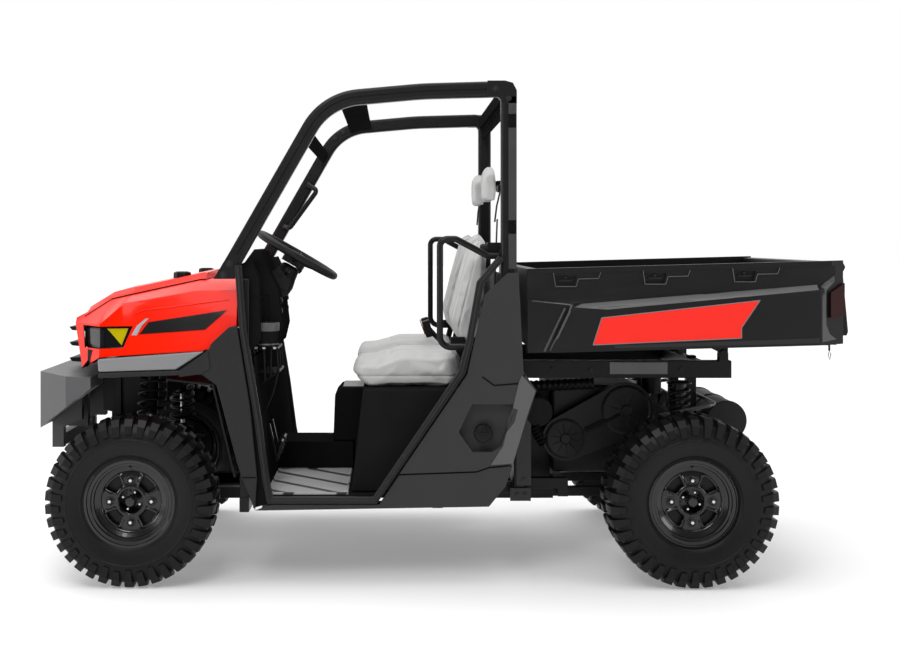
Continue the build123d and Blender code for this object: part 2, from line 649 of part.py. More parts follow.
CONSOLE = [(328, FLOOR_TOP), (412, 448), (405, 640), (380, 668), (-60, 668), (-60, FLOOR_TOP)]
with BuildPart() as centre_console:
    side_prism(CONSOLE, 120, -120)
    block((324, 420), (-140, 140), (320, TUNNEL_TOP + 1), mode=Mode.SUBTRACT)
centre_console.part.label = "centre_console"
export_step(centre_console.part, "parts/centre_console.step")

SEAT_HALF = 240
CUSHION = [
    (302, 736), (338, 790), (325, 840), (280, 855), (-40, 855), (-100, 870), (-105, 760),
    (-92, 719), (285, 719),
]
BACK = [
    (-60, 864), (-36, 978), (-70, 1130), (-122, 1301), (-152, 1318), (-184, 1301), (-172, 1060),
    (-150, 880), (-112, 880),
]
for name, outline, half in (("seat_cushions", CUSHION, SEAT_HALF), ("seat_backs", BACK, SEAT_HALF - 12)):
    with BuildPart() as seat_part:
        side_prism(outline, SEAT_Y + half, SEAT_Y - half)
        mirror(about=Plane.XZ)
    seat_part.part.label = name
    export_step(seat_part.part, "parts/" + name + ".step")

REST = [(-183, 1430), (-179, 1540), (-196, 1567), (-228, 1567), (-236, 1500), (-232, 1417), (-196, 1417)]
with BuildPart() as head_restraints:
    side_prism(REST, SEAT_Y + 140, SEAT_Y - 140)
    mirror(about=Plane.XZ)
head_restraints.part.label = "head_restraints"
export_step(head_restraints.part, "parts/head_restraints.step")

with BuildPart() as seat_belts:
    side_prism([(-226, 1350), (-229, 1350), (-214, 960), (-211, 960)], 560, 515)
    mirror(about=Plane.XZ)
seat_belts.part.label = "seat_belts"
export_step(seat_belts.part, "parts/seat_belts.step")

# ---- roll-over hoops: one bent tube a side, joined by flat cross members ----
HOOP_ROUTE = ((772, 1165), (415, 1788), (60, 1820), (POST_X, 1829), (POST_X, 726))  # x, z
HOOP_BENDS = [229, 1200, 48]
HOOP_GUSSET = [(828, 1128), (764, 1232), (733, 1214), (748, 1128)]  # plate at the front foot
for name, side in (("roll_hoop_left", 1), ("roll_hoop_right", -1)):
    with BuildPart() as hoop:
        with BuildLine() as route:
            FilletPolyline(*((x, side * HOOP_Y, z) for x, z in HOOP_ROUTE), radius=HOOP_BENDS)
        with BuildSketch(Plane(origin=route.line @ 0, x_dir=(0, 1, 0), z_dir=route.line % 0)) as tube:
            RectangleRounded(50, 58, 12)
        sweep(tube.sketch, path=route.line)
        side_prism(HOOP_GUSSET, side * (HOOP_Y + 27), side * (HOOP_Y + 24))
    hoop.part.label = name
    export_step(hoop.part, "parts/" + name + ".step")

HEADER_PLATE = [(505, 1640), (480, 1685), (472, 1680), (497, 1635)]
ROOF_PLATE = [(368, 1786), (270, 1808), (268, 1798), (366, 1776)]
REST_BAR_Z = 1490
with BuildPart() as hoop_crossbars:
    for plate in (HEADER_PLATE, ROOF_PLATE):
        side_prism(plate, 634, -634)
    block((-285, -235), (-634, 634), (1790, 1840))
    block((-254, -246), (-600, 600), (1735, 1790))  # slotted sheet under the rear tube
    for y in range(-480, 481, 160):
        block((-260, -240), (y - 52, y + 52), (1750, 1776), mode=Mode.SUBTRACT)
    cross_bar(POST_X, REST_BAR_Z, 634, 16)
    for y in (-SEAT_Y, SEAT_Y):  # feet of the head restraints
        block((POST_X, -237), (y - 60, y + 60), (REST_BAR_Z - 12, REST_BAR_Z + 12))
hoop_crossbars.part.label = "hoop_crossbars"
export_step(hoop_crossbars.part, "parts/hoop_crossbars.step")

HIP_ROUTE = ((-231, 874), (-7, 874), (-7, 1275), (-66, 1275), (-185, 1212), (-231, 1212))  # x, z
HIP_Y = 642
with BuildPart() as hip_bars:
    with BuildLine() as route:
        FilletPolyline(*((x, HIP_Y, z) for x, z in HIP_ROUTE), radius=[40, 28, 28, 24])
    with BuildSketch(Plane(origin=route.line @ 0, z_dir=route.line % 0)) as tube:
        Circle(12)
    sweep(tube.sketch, path=route.line)
    mirror(about=Plane.XZ)
hip_bars.part.label = "hip_bars"
export_step(hip_bars.part, "parts/hip_bars.step")

GRAB_ENDS = ((674, 1335), (562, 1531))  # x, z on the passenger's front pillar
with BuildPart() as grab_handle:
    (low_x, low_z), (high_x, high_z) = GRAB_ENDS
    inner_y = -(HOOP_Y - 25)
    with BuildLine() as route:
        FilletPolyline(
            (low_x, inner_y + 10, low_z), (low_x - 30, inner_y + 55, low_z - 10),
            (high_x - 45, inner_y + 55, high_z - 32), (high_x, inner_y + 10, high_z),
            radius=18,
        )
    with BuildSketch(Plane(origin=route.line @ 0, z_dir=route.line % 0)) as tube:
        Circle(11)
    sweep(tube.sketch, path=route.line)
    for x, z in GRAB_ENDS:
        block((x - 16, x + 16), (inner_y, inner_y + 16), (z - 16, z + 16))
grab_handle.part.label = "grab_handle"
export_step(grab_handle.part, "parts/grab_handle.step")

# ---- steering wheel on its column ----
WHEEL_RING, WHEEL_GRIP = 164, 15
wheel_plane = Plane(origin=STEER_MIDDLE, x_dir=(0, 1, 0), z_dir=STEER_AXIS)
with BuildPart() as steering_wheel:
    with Locations(wheel_plane):
        Torus(WHEEL_RING, WHEEL_GRIP)
    hub = tuple(wheel_plane.from_local_coords(Vector(0, 0, -26)))
    for angle in (0, 90, 180):
        for spread in (-4, 4):
            reach = (WHEEL_RING * cos(radians(angle + spread)), WHEEL_RING * sin(radians(angle + spread)), 0)
            bar(hub, tuple(wheel_plane.from_local_coords(Vector(*reach))), 8)
    with BuildSketch(wheel_plane.offset(-42)) as pad:
        RectangleRounded(104, 92, 24)
    extrude(pad.sketch, amount=44, dir=STEER_AXIS)
steering_wheel.part.label = "steering_wheel"
export_step(steering_wheel.part, "parts/steering_wheel.step")

with BuildPart() as steering_column:
    top = wheel_plane.from_local_coords(Vector(0, 0, -48))
    foot = wheel_plane.from_local_coords(Vector(0, 0, -190))
    bar(tuple(top), tuple(foot), 26)
steering_column.part.label = "steering_column"
export_step(steering_column.part, "parts/steering_column.step")

with BuildPart() as pedals:
    for y, half in ((430, 28), (300, 40)):
        side_prism([(612, 420), (618, 424), (596, 500), (590, 496)], y + half, y - half)
        side_prism([(618, 424), (648, 560), (642, 562), (612, 428)], y + 8, y - 8)
pedals.part.label = "pedals"
export_step(pedals.part, "parts/pedals.step")

with BuildPart() as stabilizer_bar:
    bent_bar([(-848, -456, 592), (-1073, -456, 641), (-1073, 456, 641), (-848, 456, 592)], 8, 30)
stabilizer_bar.part.label = "stabilizer_bar"
export_step(stabilizer_bar.part, "parts/stabilizer_bar.step")

with BuildPart() as hitch_receiver:
    block((-1330, -1060), (-32, 32), (300, 364))
    block((-1331, -1100), (-26, 26), (306, 358), mode=Mode.SUBTRACT)
    block((-1080, -1062), (-190, 190), (RAIL_HIGH, 400))
    bar((-1290, -40, 332), (-1290, 40, 332), 8, mode=Mode.SUBTRACT)
hitch_receiver.part.label = "hitch_receiver"
export_step(hitch_receiver.part, "parts/hitch_receiver.step")

# ---- cargo bed: tub whose sides step out below a ledge and turn in at the tail ----
BED_FLOOR_Z = 915
UPPER_HALF = 668  # outer face above the ledge
BED_REAR_X = -1500
BED_TOP = [(BED_FRONT_X, 1165), (BED_REAR_X, 1196)]  # front and rear end of the top rail
UPPER_SIDE = [(BED_FRONT_X, 872), *BED_TOP, (BED_REAR_X, 900)]
LOWER_SIDE = [(-409, 857), (-493, 1036), (BED_CORNER_X, 1104), (BED_REAR_X, 1136), (BED_REAR_X, 887)]
SHOULDER = [(BED_FRONT_X, 855), (BED_FRONT_X, 1050), (-493, 1036), (-409, 857)]
SHOULDER_HALF = 684
RAIL_LIP = [(BED_FRONT_X, 1147), *BED_TOP, (BED_REAR_X, 1178)]
POCKET_X = (-470, -800, -1130)  # middles of the tie-down pockets
GATE_BARREL = 12  # radius of the tailgate's hinge barrels
with BuildPart() as bed_side:
    side_prism(UPPER_SIDE, UPPER_HALF, BED_INNER_HALF)
    side_prism(SHOULDER, SHOULDER_HALF, BED_INNER_HALF)
    with BuildPart(mode=Mode.PRIVATE) as lower_side:
        side_prism(LOWER_SIDE, BODY_HALF, BED_INNER_HALF)
        outer_edges = lower_side.edges().filter_by(lambda edge: edge.center().Y > BODY_HALF - 1)
        chamfer(outer_edges.sort_by(Axis.Z)[-2:], 30, 20)
    add(lower_side.part)
    side_prism(RAIL_LIP, UPPER_HALF + 8, BED_INNER_HALF)
    for x in POCKET_X:
        z = 1122 - (x - BED_FRONT_X) * BED_RISE
        pocket = [(x + 42, z + 14), (x + 34, z - 22), (x - 34, z - 22), (x - 42, z + 14)]
        side_prism(pocket, BODY_HALF, UPPER_HALF - 12, mode=Mode.SUBTRACT)
    with BuildSketch(Plane.XY.offset(840)) as corner:
        with BuildLine():
            Polyline((BED_CORNER_X, BODY_HALF), (-1510, 646), (-1510, 730), (BED_CORNER_X, 730), close=True)
        make_face()
    extrude(corner.sketch, amount=400, mode=Mode.SUBTRACT)
with BuildPart() as cargo_bed:
    add(bed_side.part)
    mirror(about=Plane.XZ)
    block((-1452, BED_FRONT_X), (-BED_INNER_HALF, BED_INNER_HALF), (880, BED_FLOOR_Z))
    block((BED_FRONT_X - 40, BED_FRONT_X), (-BED_INNER_HALF, BED_INNER_HALF), (880, 1165))
    hinge_x, hinge_z = BED_HINGE
    gate_x, gate_z = GATE_HINGE
    for side in (-1, 1):
        lug_y = (side * BED_LUG_Y[0], side * BED_LUG_Y[1])
        block((hinge_x - HINGE_EYE, hinge_x + HINGE_EYE), lug_y, (hinge_z, 884))
        side_prism([(-1000, 884), (hinge_x, 884), (hinge_x, hinge_z)], max(lug_y), min(lug_y))
        bar((hinge_x, lug_y[0], hinge_z), (hinge_x, lug_y[1], hinge_z), HINGE_EYE)
        bore = ((hinge_x, side * 360, hinge_z), (hinge_x, side * 440, hinge_z))
        bar(*bore, HINGE_PIN + 0.3, mode=Mode.SUBTRACT)
        block((-1490, -1440), (side * 500, side * 540), (880, gate_z))
        bar((gate_x, side * 500, gate_z), (gate_x, side * 540, gate_z), GATE_BARREL)
cargo_bed.part.label = "cargo_bed"
export_step(cargo_bed.part, "parts/cargo_bed.step")

# Tail lamps on the turned-in corners
with BuildPart() as tail_lamps:
    side_prism([(-1440, 1078), (-1501, 1112), (-1501, 990), (-1440, 985)], 720, 600)
    with BuildSketch(Plane.XY.offset(900)) as slab:
        with BuildLine():
            Polyline((-1430, 689), (-1500, 655), (-1505, 664), (-1436, 699), close=True)
        make_face()
    extrude(slab.sketch, amount=300, mode=Mode.INTERSECT)
    mirror(about=Plane.XZ)
tail_lamps.part.label = "tail_lamps"
export_step(tail_lamps.part, "parts/tail_lamps.step")

GATE = [
    (-1462, 922), (-1462, 1188), (-1505, 1190), (-1515, 1170), (-1505, 1150), (-1525, 930),
    (-1520, 916), (-1490, 916),
]
with BuildPart() as tailgate:
    side_prism(GATE, 632, -632)
    for side in (-1, 1):
        block((-1525, -1440), (side * 495, side * 545), (880, 916), mode=Mode.SUBTRACT)
        for y in ((440, 494), (546, 600)):
            bar((gate_x, side * y[0], gate_z), (gate_x, side * y[1], gate_z), GATE_BARREL)
            block((gate_x - GATE_BARREL, gate_x + GATE_BARREL), (side * y[0], side * y[1]), (gate_z, 920))
tailgate.part.label = "tailgate"
export_step(tailgate.part, "parts/tailgate.step")
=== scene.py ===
# Side by side utility vehicle: the finished surfaces and fine pieces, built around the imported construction.
from math import cos, pi, radians, sin

import bmesh
import bpy
from mathutils import Matrix, Vector
from mathutils.bvhtree import BVHTree


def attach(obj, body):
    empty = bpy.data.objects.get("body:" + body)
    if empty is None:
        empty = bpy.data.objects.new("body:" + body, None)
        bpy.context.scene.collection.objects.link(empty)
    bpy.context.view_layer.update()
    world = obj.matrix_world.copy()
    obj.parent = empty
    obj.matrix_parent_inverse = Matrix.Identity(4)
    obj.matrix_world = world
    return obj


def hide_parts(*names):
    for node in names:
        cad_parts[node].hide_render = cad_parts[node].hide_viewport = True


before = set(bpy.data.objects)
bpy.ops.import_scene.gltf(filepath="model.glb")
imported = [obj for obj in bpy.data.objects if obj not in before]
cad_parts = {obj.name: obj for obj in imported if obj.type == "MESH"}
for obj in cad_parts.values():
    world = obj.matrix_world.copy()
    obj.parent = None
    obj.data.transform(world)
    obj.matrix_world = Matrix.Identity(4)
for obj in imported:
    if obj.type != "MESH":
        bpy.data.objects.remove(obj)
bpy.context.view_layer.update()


# ---- Studio ----
# A camera at chest height looks straight across the vehicle's left side, and its shifted lens keeps
# upright posts upright. The backdrop is white, its near side dim, and the floor gives off a little light.
CAMERA_PLACE = (0.167, 5.65, 1.271)
LENS_MM, SENSOR_MM = 54.0, 36.0
SHIFT = (0.0633, -0.0944)
camera_data = bpy.data.cameras.new("camera")
camera_data.lens, camera_data.sensor_width = LENS_MM, SENSOR_MM
camera_data.shift_x, camera_data.shift_y = SHIFT
camera = bpy.data.objects.new("camera", camera_data)
camera.location = CAMERA_PLACE
camera.rotation_euler = (pi / 2, 0, pi)
bpy.context.collection.objects.link(camera)
bpy.context.scene.camera = camera
bpy.context.scene.view_settings.view_transform = "Standard"


def set_inputs(tree, node, inputs):
    """Sets a node's sockets by name, each to a constant or to the output that feeds it."""
    for label, value in inputs.items():
        if isinstance(value, bpy.types.NodeSocket):
            tree.links.new(value, node.inputs[label])
        else:
            node.inputs[label].default_value = value


def add_node(tree, kind, inputs, **settings):
    """Adds a node with its settings and sockets."""
    node = tree.nodes.new(kind)
    for setting, value in settings.items():
        setattr(node, setting, value)
    set_inputs(tree, node, inputs)
    return node


def link_mesh(name, shape, *materials):
    """Turns a finished bmesh into an object in the scene."""
    mesh = bpy.data.meshes.new(name)
    shape.to_mesh(mesh)
    shape.free()
    for material in materials:
        mesh.materials.append(material)
    made = bpy.data.objects.new(name, mesh)
    bpy.context.collection.objects.link(made)
    return made


WHITE = (1, 1, 1, 1)
FLOOR_HALF_SIZE = 60
floor_material = bpy.data.materials.new("studio_floor")
floor_material.use_nodes = True
floor_tree = floor_material.node_tree
set_inputs(floor_tree, floor_tree.nodes["Principled BSDF"], {
    "Base Color": (0.62, 0.62, 0.62, 1), "Roughness": 0.7,
    "Emission Color": WHITE, "Emission Strength": 0.25,
})
floor_shape = bmesh.new()
bmesh.ops.create_grid(floor_shape, x_segments=1, y_segments=1, size=FLOOR_HALF_SIZE)
floor = link_mesh("studio_floor", floor_shape, floor_material)

NEAR_LIGHT, FAR_LIGHT, BLEND = 0.18, 1.0, 0.35  # how bright the backdrop is, and where it changes
world = bpy.data.worlds.new("studio_world")
bpy.context.scene.world = world
world.use_nodes = True
sky = world.node_tree
direction = add_node(sky, "ShaderNodeTexCoord", {})
across = add_node(sky, "ShaderNodeSeparateXYZ", {"Vector": direction.outputs["Generated"]})
dimming = add_node(sky, "ShaderNodeMapRange", {
    "Value": across.outputs["Y"], "From Min": -BLEND, "From Max": BLEND,
    "To Min": FAR_LIGHT, "To Max": NEAR_LIGHT,
})
set_inputs(sky, sky.nodes["Background"], {"Strength": dimming.outputs["Result"], "Color": WHITE})
LAMPS = (  # name, kind, place, aims at, size in metres or degrees, strength
    ("overhead", "SUN", (0.4, -0.5, 6.0), (0, 0, 0), 70, 2.4),
    ("key", "AREA", (1.2, 4.2, 4.2), (0.1, 0.5, 0.8), 2.2, 110),
    ("front", "AREA", (4.6, 2.4, 1.5), (1.2, 0.4, 0.7), 1.6, 60),
    ("rear", "AREA", (-4.2, 3.0, 1.6), (-0.9, 0.6, 0.7), 1.6, 40),
)
for name, kind, place, target, size, strength in LAMPS:
    lamp_data = bpy.data.lights.new(name, kind)
    if kind == "SUN":
        lamp_data.angle = radians(size)
    else:
        lamp_data.shape = "DISK"
        lamp_data.size = size
    lamp_data.energy = strength
    lamp = bpy.data.objects.new(name, lamp_data)
    lamp.location = place
    lamp.rotation_euler = (Vector(target) - Vector(place)).to_track_quat("-Z", "Y").to_euler()
    bpy.context.collection.objects.link(lamp)


# ---- Frame: welded rails, arms and steering bars ----
# Square and round tube, welded and powder coated in satin black. The coat is slightly uneven, and a
# bare grey sleeve covers part of each upper rail under the bed.
GLOSS_RANGE = (0.85, 1.2)  # share of the roughness at the ends of the mottle
GRAIN_HEIGHT = 0.0005
ROUNDED_ANGLE, SHARP_ANGLE = radians(25), radians(32)  # of edges that get rounded, and that look sharp


def grain_group():
    """Fine mottle and bump that every moulded or coated surface shares."""
    group = bpy.data.node_groups.new("fine_grain", "ShaderNodeTree")
    for label, side in (("Scale", "INPUT"), ("Mottle", "OUTPUT"), ("Height", "OUTPUT")):
        group.interface.new_socket(label, in_out=side, socket_type="NodeSocketFloat")
    entry = add_node(group, "NodeGroupInput", {})
    place = add_node(group, "ShaderNodeTexCoord", {}).outputs["Object"]
    fine = add_node(group, "ShaderNodeTexVoronoi", {"Vector": place, "Scale": entry.outputs["Scale"]})
    broad = add_node(group, "ShaderNodeTexNoise", {"Vector": place, "Scale": 9, "Detail": 4})
    add_node(group, "NodeGroupOutput", {"Mottle": broad.outputs["Fac"], "Height": fine.outputs["Distance"]})
    return group


fine_grain = grain_group()


def finish(name, colour, roughness, grain=900, bump=0.15, spread=0.25, metallic=0.0, coat=0.0, shine=0.2):
    """A coated or moulded surface: its colour and gloss vary a little, and fine grain raises it."""
    material = bpy.data.materials.new(name)
    material.use_nodes = True
    tree = material.node_tree
    surface_grain = add_node(tree, "ShaderNodeGroup", {"Scale": grain}, node_tree=fine_grain)
    mottle = surface_grain.outputs["Mottle"]
    dark, light = [(*[min(1, c * share) for c in colour], 1) for share in (1 - spread, 1 + spread)]
    tint = add_node(tree, "ShaderNodeMix", {"Factor": mottle, "A": dark, "B": light}, data_type="RGBA")
    gloss = add_node(tree, "ShaderNodeMapRange", {
        "Value": mottle, "To Min": roughness * GLOSS_RANGE[0],
        "To Max": min(1, roughness * GLOSS_RANGE[1]),
    })
    relief = add_node(tree, "ShaderNodeBump", {
        "Height": surface_grain.outputs["Height"], "Strength": bump, "Distance": GRAIN_HEIGHT})
    set_inputs(tree, tree.nodes["Principled BSDF"], {
        "Base Color": tint.outputs["Result"], "Roughness": gloss.outputs["Result"],
        "Normal": relief.outputs["Normal"], "Metallic": metallic, "Coat Weight": coat,
        "Specular IOR Level": shine,
    })
    return material


def soften(piece, width, segments=2):
    """Rounds a piece's hard edges over by width."""
    edge = piece.modifiers.new("edge", "BEVEL")
    edge.width, edge.segments = width, segments
    edge.limit_method, edge.angle_limit = "ANGLE", ROUNDED_ANGLE
    edge.harden_normals = True


def add_piece(name, shape, material, slot, *nodes, body="chassis", edge=()):
    """Turns a bmesh into a piece that rides on a body and stands for the given CAD nodes.

    edge holds the width and segments of the rounding of its hard edges.
    """
    bmesh.ops.recalc_face_normals(shape, faces=shape.faces)
    made = link_mesh(name, shape, material)
    made.data.shade_smooth()
    made.data.set_sharp_from_angle(angle=SHARP_ANGLE)
    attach(made, body)
    if nodes:
        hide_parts(*nodes)
    if edge:
        soften(made, *edge)
    return made


def rounded(node, material, slot, *edge, body="chassis"):
    """A copy of a CAD node with its hard edges rounded over by edge, a width and perhaps segments."""
    shape = bmesh.new()
    shape.from_mesh(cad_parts[node].data)
    bmesh.ops.remove_doubles(shape, verts=shape.verts, dist=0.00001)
    bmesh.ops.dissolve_limit(shape, angle_limit=radians(0.5), verts=shape.verts, edges=shape.edges)
    add_piece(node + "_skin", shape, material, slot, node, body=body, edge=edge)


def finish_node(node, material):
    """Gives a CAD node that stays as it is its material."""
    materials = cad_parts[node].data.materials
    materials.clear()
    materials.append(material)


def shapes(count):
    """That many empty shapes."""
    return [bmesh.new() for index in range(count)]


def join_rings(shape, rings, closed=False):
    """Joins rings of vertices with quads. An open row of rings gets a face at either end."""
    for near, far in zip(rings, rings[1:] + (rings[:1] if closed else [])):
        for index in range(len(near)):
            after = (index + 1) % len(near)
            shape.faces.new((near[index], near[after], far[after], far[index]))
    if not closed:
        shape.faces.new(rings[0][::-1])
        shape.faces.new(rings[-1])


def prism(shape, outline, y, half):
    """Adds the solid of a side-view outline, points (x, z), that reaches half to either side of y."""
    ends = (y - half, y + half)
    join_rings(shape, [[shape.verts.new((x, reach, z)) for x, z in outline] for reach in ends])


def block(shape, low, high, y, half):
    """Adds a box between two side-view corners, points (x, z), that reaches half to either side of y."""
    prism(shape, [low, (high[0], low[1]), high, (low[0], high[1])], y, half)


def sweep(shape, path, section, closed=False):
    """Adds a bar along the path. section holds (sideways, outward) offsets round the path."""
    rings, normal = [], None
    count = len(path)
    for index, point in enumerate(path):
        ahead = Vector(path[(index + 1) % count] if closed or index + 1 < count else point)
        behind = Vector(path[index - 1] if closed or index else point)
        run = (ahead - behind).normalized()
        normal = run.orthogonal() if normal is None else normal - run * normal.dot(run)
        normal.normalize()
        across = run.cross(normal)
        rings.append([shape.verts.new(Vector(point) + across * a + normal * b) for a, b in section])
    join_rings(shape, rings, closed)


def turns(count, start=0.0):
    """Equal turns round a full circle."""
    return [start + 2 * pi * index / count for index in range(count)]


def tube(shape, path, radius, sides=12, closed=False):
    """Adds a round bar along the path."""
    sweep(shape, path, [(radius * cos(turn), radius * sin(turn)) for turn in turns(sides)], closed)


def lathe(shape, profile, centre, axis, steps=48):
    """Adds a turned solid: profile holds (radius, height along the axis from centre)."""
    axis = Vector(axis).normalized()
    outward = axis.orthogonal().normalized()
    verts = [shape.verts.new(Vector(centre) + outward * r + axis * h) for r, h in profile]
    edges = [shape.edges.new(pair) for pair in zip(verts, verts[1:])]
    bmesh.ops.spin(
        shape, geom=verts + edges, cent=centre, axis=axis, angle=2 * pi, steps=steps, use_merge=True
    )
    bmesh.ops.remove_doubles(shape, verts=shape.verts, dist=0.00002)


def bolt(shape, place, axis, radius=0.008, height=0.006):
    """Adds a hexagon head on its washer."""
    lathe(shape, [(0, 0.002), (radius * 1.5, 0.002), (radius * 1.6, 0)], place, axis, 20)
    lathe(shape, [(0, height), (radius * 0.85, height), (radius, height * 0.8), (radius, 0)], place, axis, 6)


steel_black = finish("steel_black", (0.0055, 0.0055, 0.006), 0.34)
plastic_black = finish("plastic_black", (0.005, 0.005, 0.0054), 0.42, grain=700, bump=0.3, shine=0.16)
metal_grey = finish("metal_grey", (0.022, 0.022, 0.023), 0.45, grain=300, bump=0.4, metallic=0.4)
bright_steel = finish("bright_steel", (0.6, 0.6, 0.6), 0.28, bump=0.1, spread=0.1, metallic=1.0)
sleeve_grey = finish("sleeve_grey", (0.14, 0.14, 0.144), 0.4, bump=0.1)

for node in ("floor_frame", "front_frame", "rear_frame", "hitch_receiver"):
    rounded(node, steel_black, "black_steel", 0.004)
for node in ("suspension_arms", "steering_rack", "skid_plate"):
    finish_node(node, steel_black)
rod_grey = finish("rod_grey", (0.1, 0.1, 0.1), 0.3, bump=0.1, metallic=0.6)
finish_node("stabilizer_bar", rod_grey)
for node in ("drive_axles", "rear_hub_carriers", "knuckle_left", "knuckle_right", "tie_rods"):
    finish_node(node, metal_grey)

sleeves, frame_bolts = shapes(2)
for side in (-1, 1):
    block(sleeves, (-0.896, 0.752), (-0.672, 0.798), side * 0.42225, 0.00175)
add_piece("rail_sleeves", sleeves, sleeve_grey, "grey_metal", edge=(0.0015, 2))
for x, z in ((-0.45, 0.77), (-0.6, 0.77), (-0.95, 0.77), (-0.323, 0.36), (-0.323, 0.62)):
    for side in (-1, 1):
        bolt(frame_bolts, (x, side * 0.42, z), (0, side, 0))
add_piece("frame_bolts", frame_bolts, metal_grey, "grey_metal")


# ---- Engine and its covers ----
# A plain block between the upper rails. On its left side sits the belt cover, two domed and ribbed
# lobes in one moulding, and beside it the air intake, its duct and the muffler.
rounded("engine_block", metal_grey, "grey_metal", 0.012)
BELT_LOBES = ((-0.514, 0.486, 0.09), (-0.755, 0.599, 0.109))  # x, z, radius
BELT_FACE, BELT_HALF_DEPTH = 0.305, 0.0275
LOBE_RIBS, FIRST_RIB_TURN, HULL_STEPS = 10, 0.2, 24
belt, hull = bmesh.new(), []
front_lobe, rear_lobe = [Vector((x, z)) for x, z, radius in BELT_LOBES]
lean = (rear_lobe - front_lobe).angle_signed(Vector((-1, 0)))
for x, z, radius in BELT_LOBES:
    start = pi / 2 if (x, z) == BELT_LOBES[0][:2] else pi * 1.5
    for step in range(HULL_STEPS + 1):
        turn = start - pi * step / HULL_STEPS + lean
        hull.append((x + radius * cos(turn), z + radius * sin(turn)))
prism(belt, hull, BELT_FACE - BELT_HALF_DEPTH, BELT_HALF_DEPTH)
for x, z, radius in BELT_LOBES:
    dome = [(0, 0.02), (0.018, 0.02), (0.022, 0.013), (radius - 0.02, 0.008), (radius - 0.008, -0.002)]
    lathe(belt, dome, (x, BELT_FACE, z), (0, 1, 0))
    for turn in turns(LOBE_RIBS, FIRST_RIB_TURN):
        ends = ((0.026, BELT_FACE + 0.013), (radius - 0.012, BELT_FACE + 0.003))
        tube(belt, [(x + reach * cos(turn), y, z + reach * sin(turn)) for reach, y in ends], 0.0035, 6)
run = Vector((rear_lobe.x - front_lobe.x, 0, rear_lobe.y - front_lobe.y)).normalized()
start = Vector((front_lobe.x, BELT_FACE, front_lobe.y)) + run * 0.085
end = Vector((rear_lobe.x, BELT_FACE, rear_lobe.y)) - run * 0.03
sweep(belt, [start, end], [(-0.02, -0.006), (0.02, -0.006), (0.016, 0.006), (-0.016, 0.006)])
cover_black = finish("cover_black", (0.013, 0.013, 0.0135), 0.4, grain=700, bump=0.3)
add_piece("belt_cover_skin", belt, cover_black, "black_plastic", "belt_cover", edge=(0.002, 2))

finish_node("intake", plastic_black)
finish_node("muffler", metal_grey)
plate_grey = finish("plate_grey", (0.045, 0.045, 0.047), 0.4, bump=0.1)
SHOCK_SHIELD = [(1.33, 0.59), (1.33, 0.77), (1.075, 0.77), (1.075, 0.64), (1.19, 0.56)]
POST_PLATE = [(-0.31, 0.322), (-0.367, 0.322), (-0.367, 0.56), (-0.345, 0.585), (-0.31, 0.585)]
PLATE_Y, PLATE_HALF = 0.427, 0.0025
FINS, FIN_PITCH = 16, 0.03
shields, side_plates, hoses, bands = shapes(4)
block(shields, (-0.475, 0.3), (-0.325, 0.69), 0.1305, 0.0025)
for side in (-1, 1):
    prism(shields, SHOCK_SHIELD, side * 0.228, 0.002)
    prism(side_plates, POST_PLATE, side * PLATE_Y, PLATE_HALF)
    block(side_plates, (-0.366, 0.262), (-0.286, 0.312), side * PLATE_Y, PLATE_HALF)
    for x, z in ((-0.338, 0.545), (-0.338, 0.345), (-0.312, 0.287), (-0.343, 0.287)):
        bolt(side_plates, (x, side * (PLATE_Y + PLATE_HALF), z), (0, side, 0), 0.006, 0.005)
for index in range(FINS):
    block(shields, (1.285, 0.56), (1.3, 0.79), -0.239 + FIN_PITCH * index, 0.001)
block(shields, (1.255, 0.55), (1.285, 0.8), 0, 0.25)
add_piece("shields_and_radiator", shields, steel_black, "black_steel", edge=(0.001, 1))
add_piece("frame_side_plates", side_plates, plate_grey, "grey_metal", edge=(0.0015, 1))


def bellows(shape, start, end, radius, folds):
    """Adds a ribbed hose from point to point."""
    run = Vector(end) - Vector(start)
    profile = []
    for index in range(folds):
        low = run.length * index / folds
        profile += [(radius, low), (radius * 0.82, low + run.length * 0.5 / folds)]
    lathe(shape, profile + [(radius, run.length)], start, run, 24)


bellows(hoses, (-0.36, 0.275, 0.688), (-0.63, 0.275, 0.7), 0.024, 12)
bellows(hoses, (-0.395, 0.285, 0.53), (-0.435, 0.285, 0.465), 0.026, 5)
for side in (-1, 1):
    bellows(hoses, (1.13, side * 0.445, 0.312), (1.13, side * 0.5, 0.312), 0.0335, 6)
add_piece("hoses", hoses, plastic_black, "black_plastic")
for x, z, inner, outer, places in (  # on the intake's duct and on the muffler
    (-0.41, 0.588, 0.0545, 0.057, (0.21, 0.27)), (-1.149, 0.559, 0.0755, 0.079, (-0.18, 0.07, 0.315)),
):
    for y in places:
        lathe(bands, [(inner, 0), (outer, 0.001), (outer, 0.011), (inner, 0.012)], (x, y, z), (0, 1, 0))
add_piece("clamp_bands", bands, metal_grey, "grey_metal")


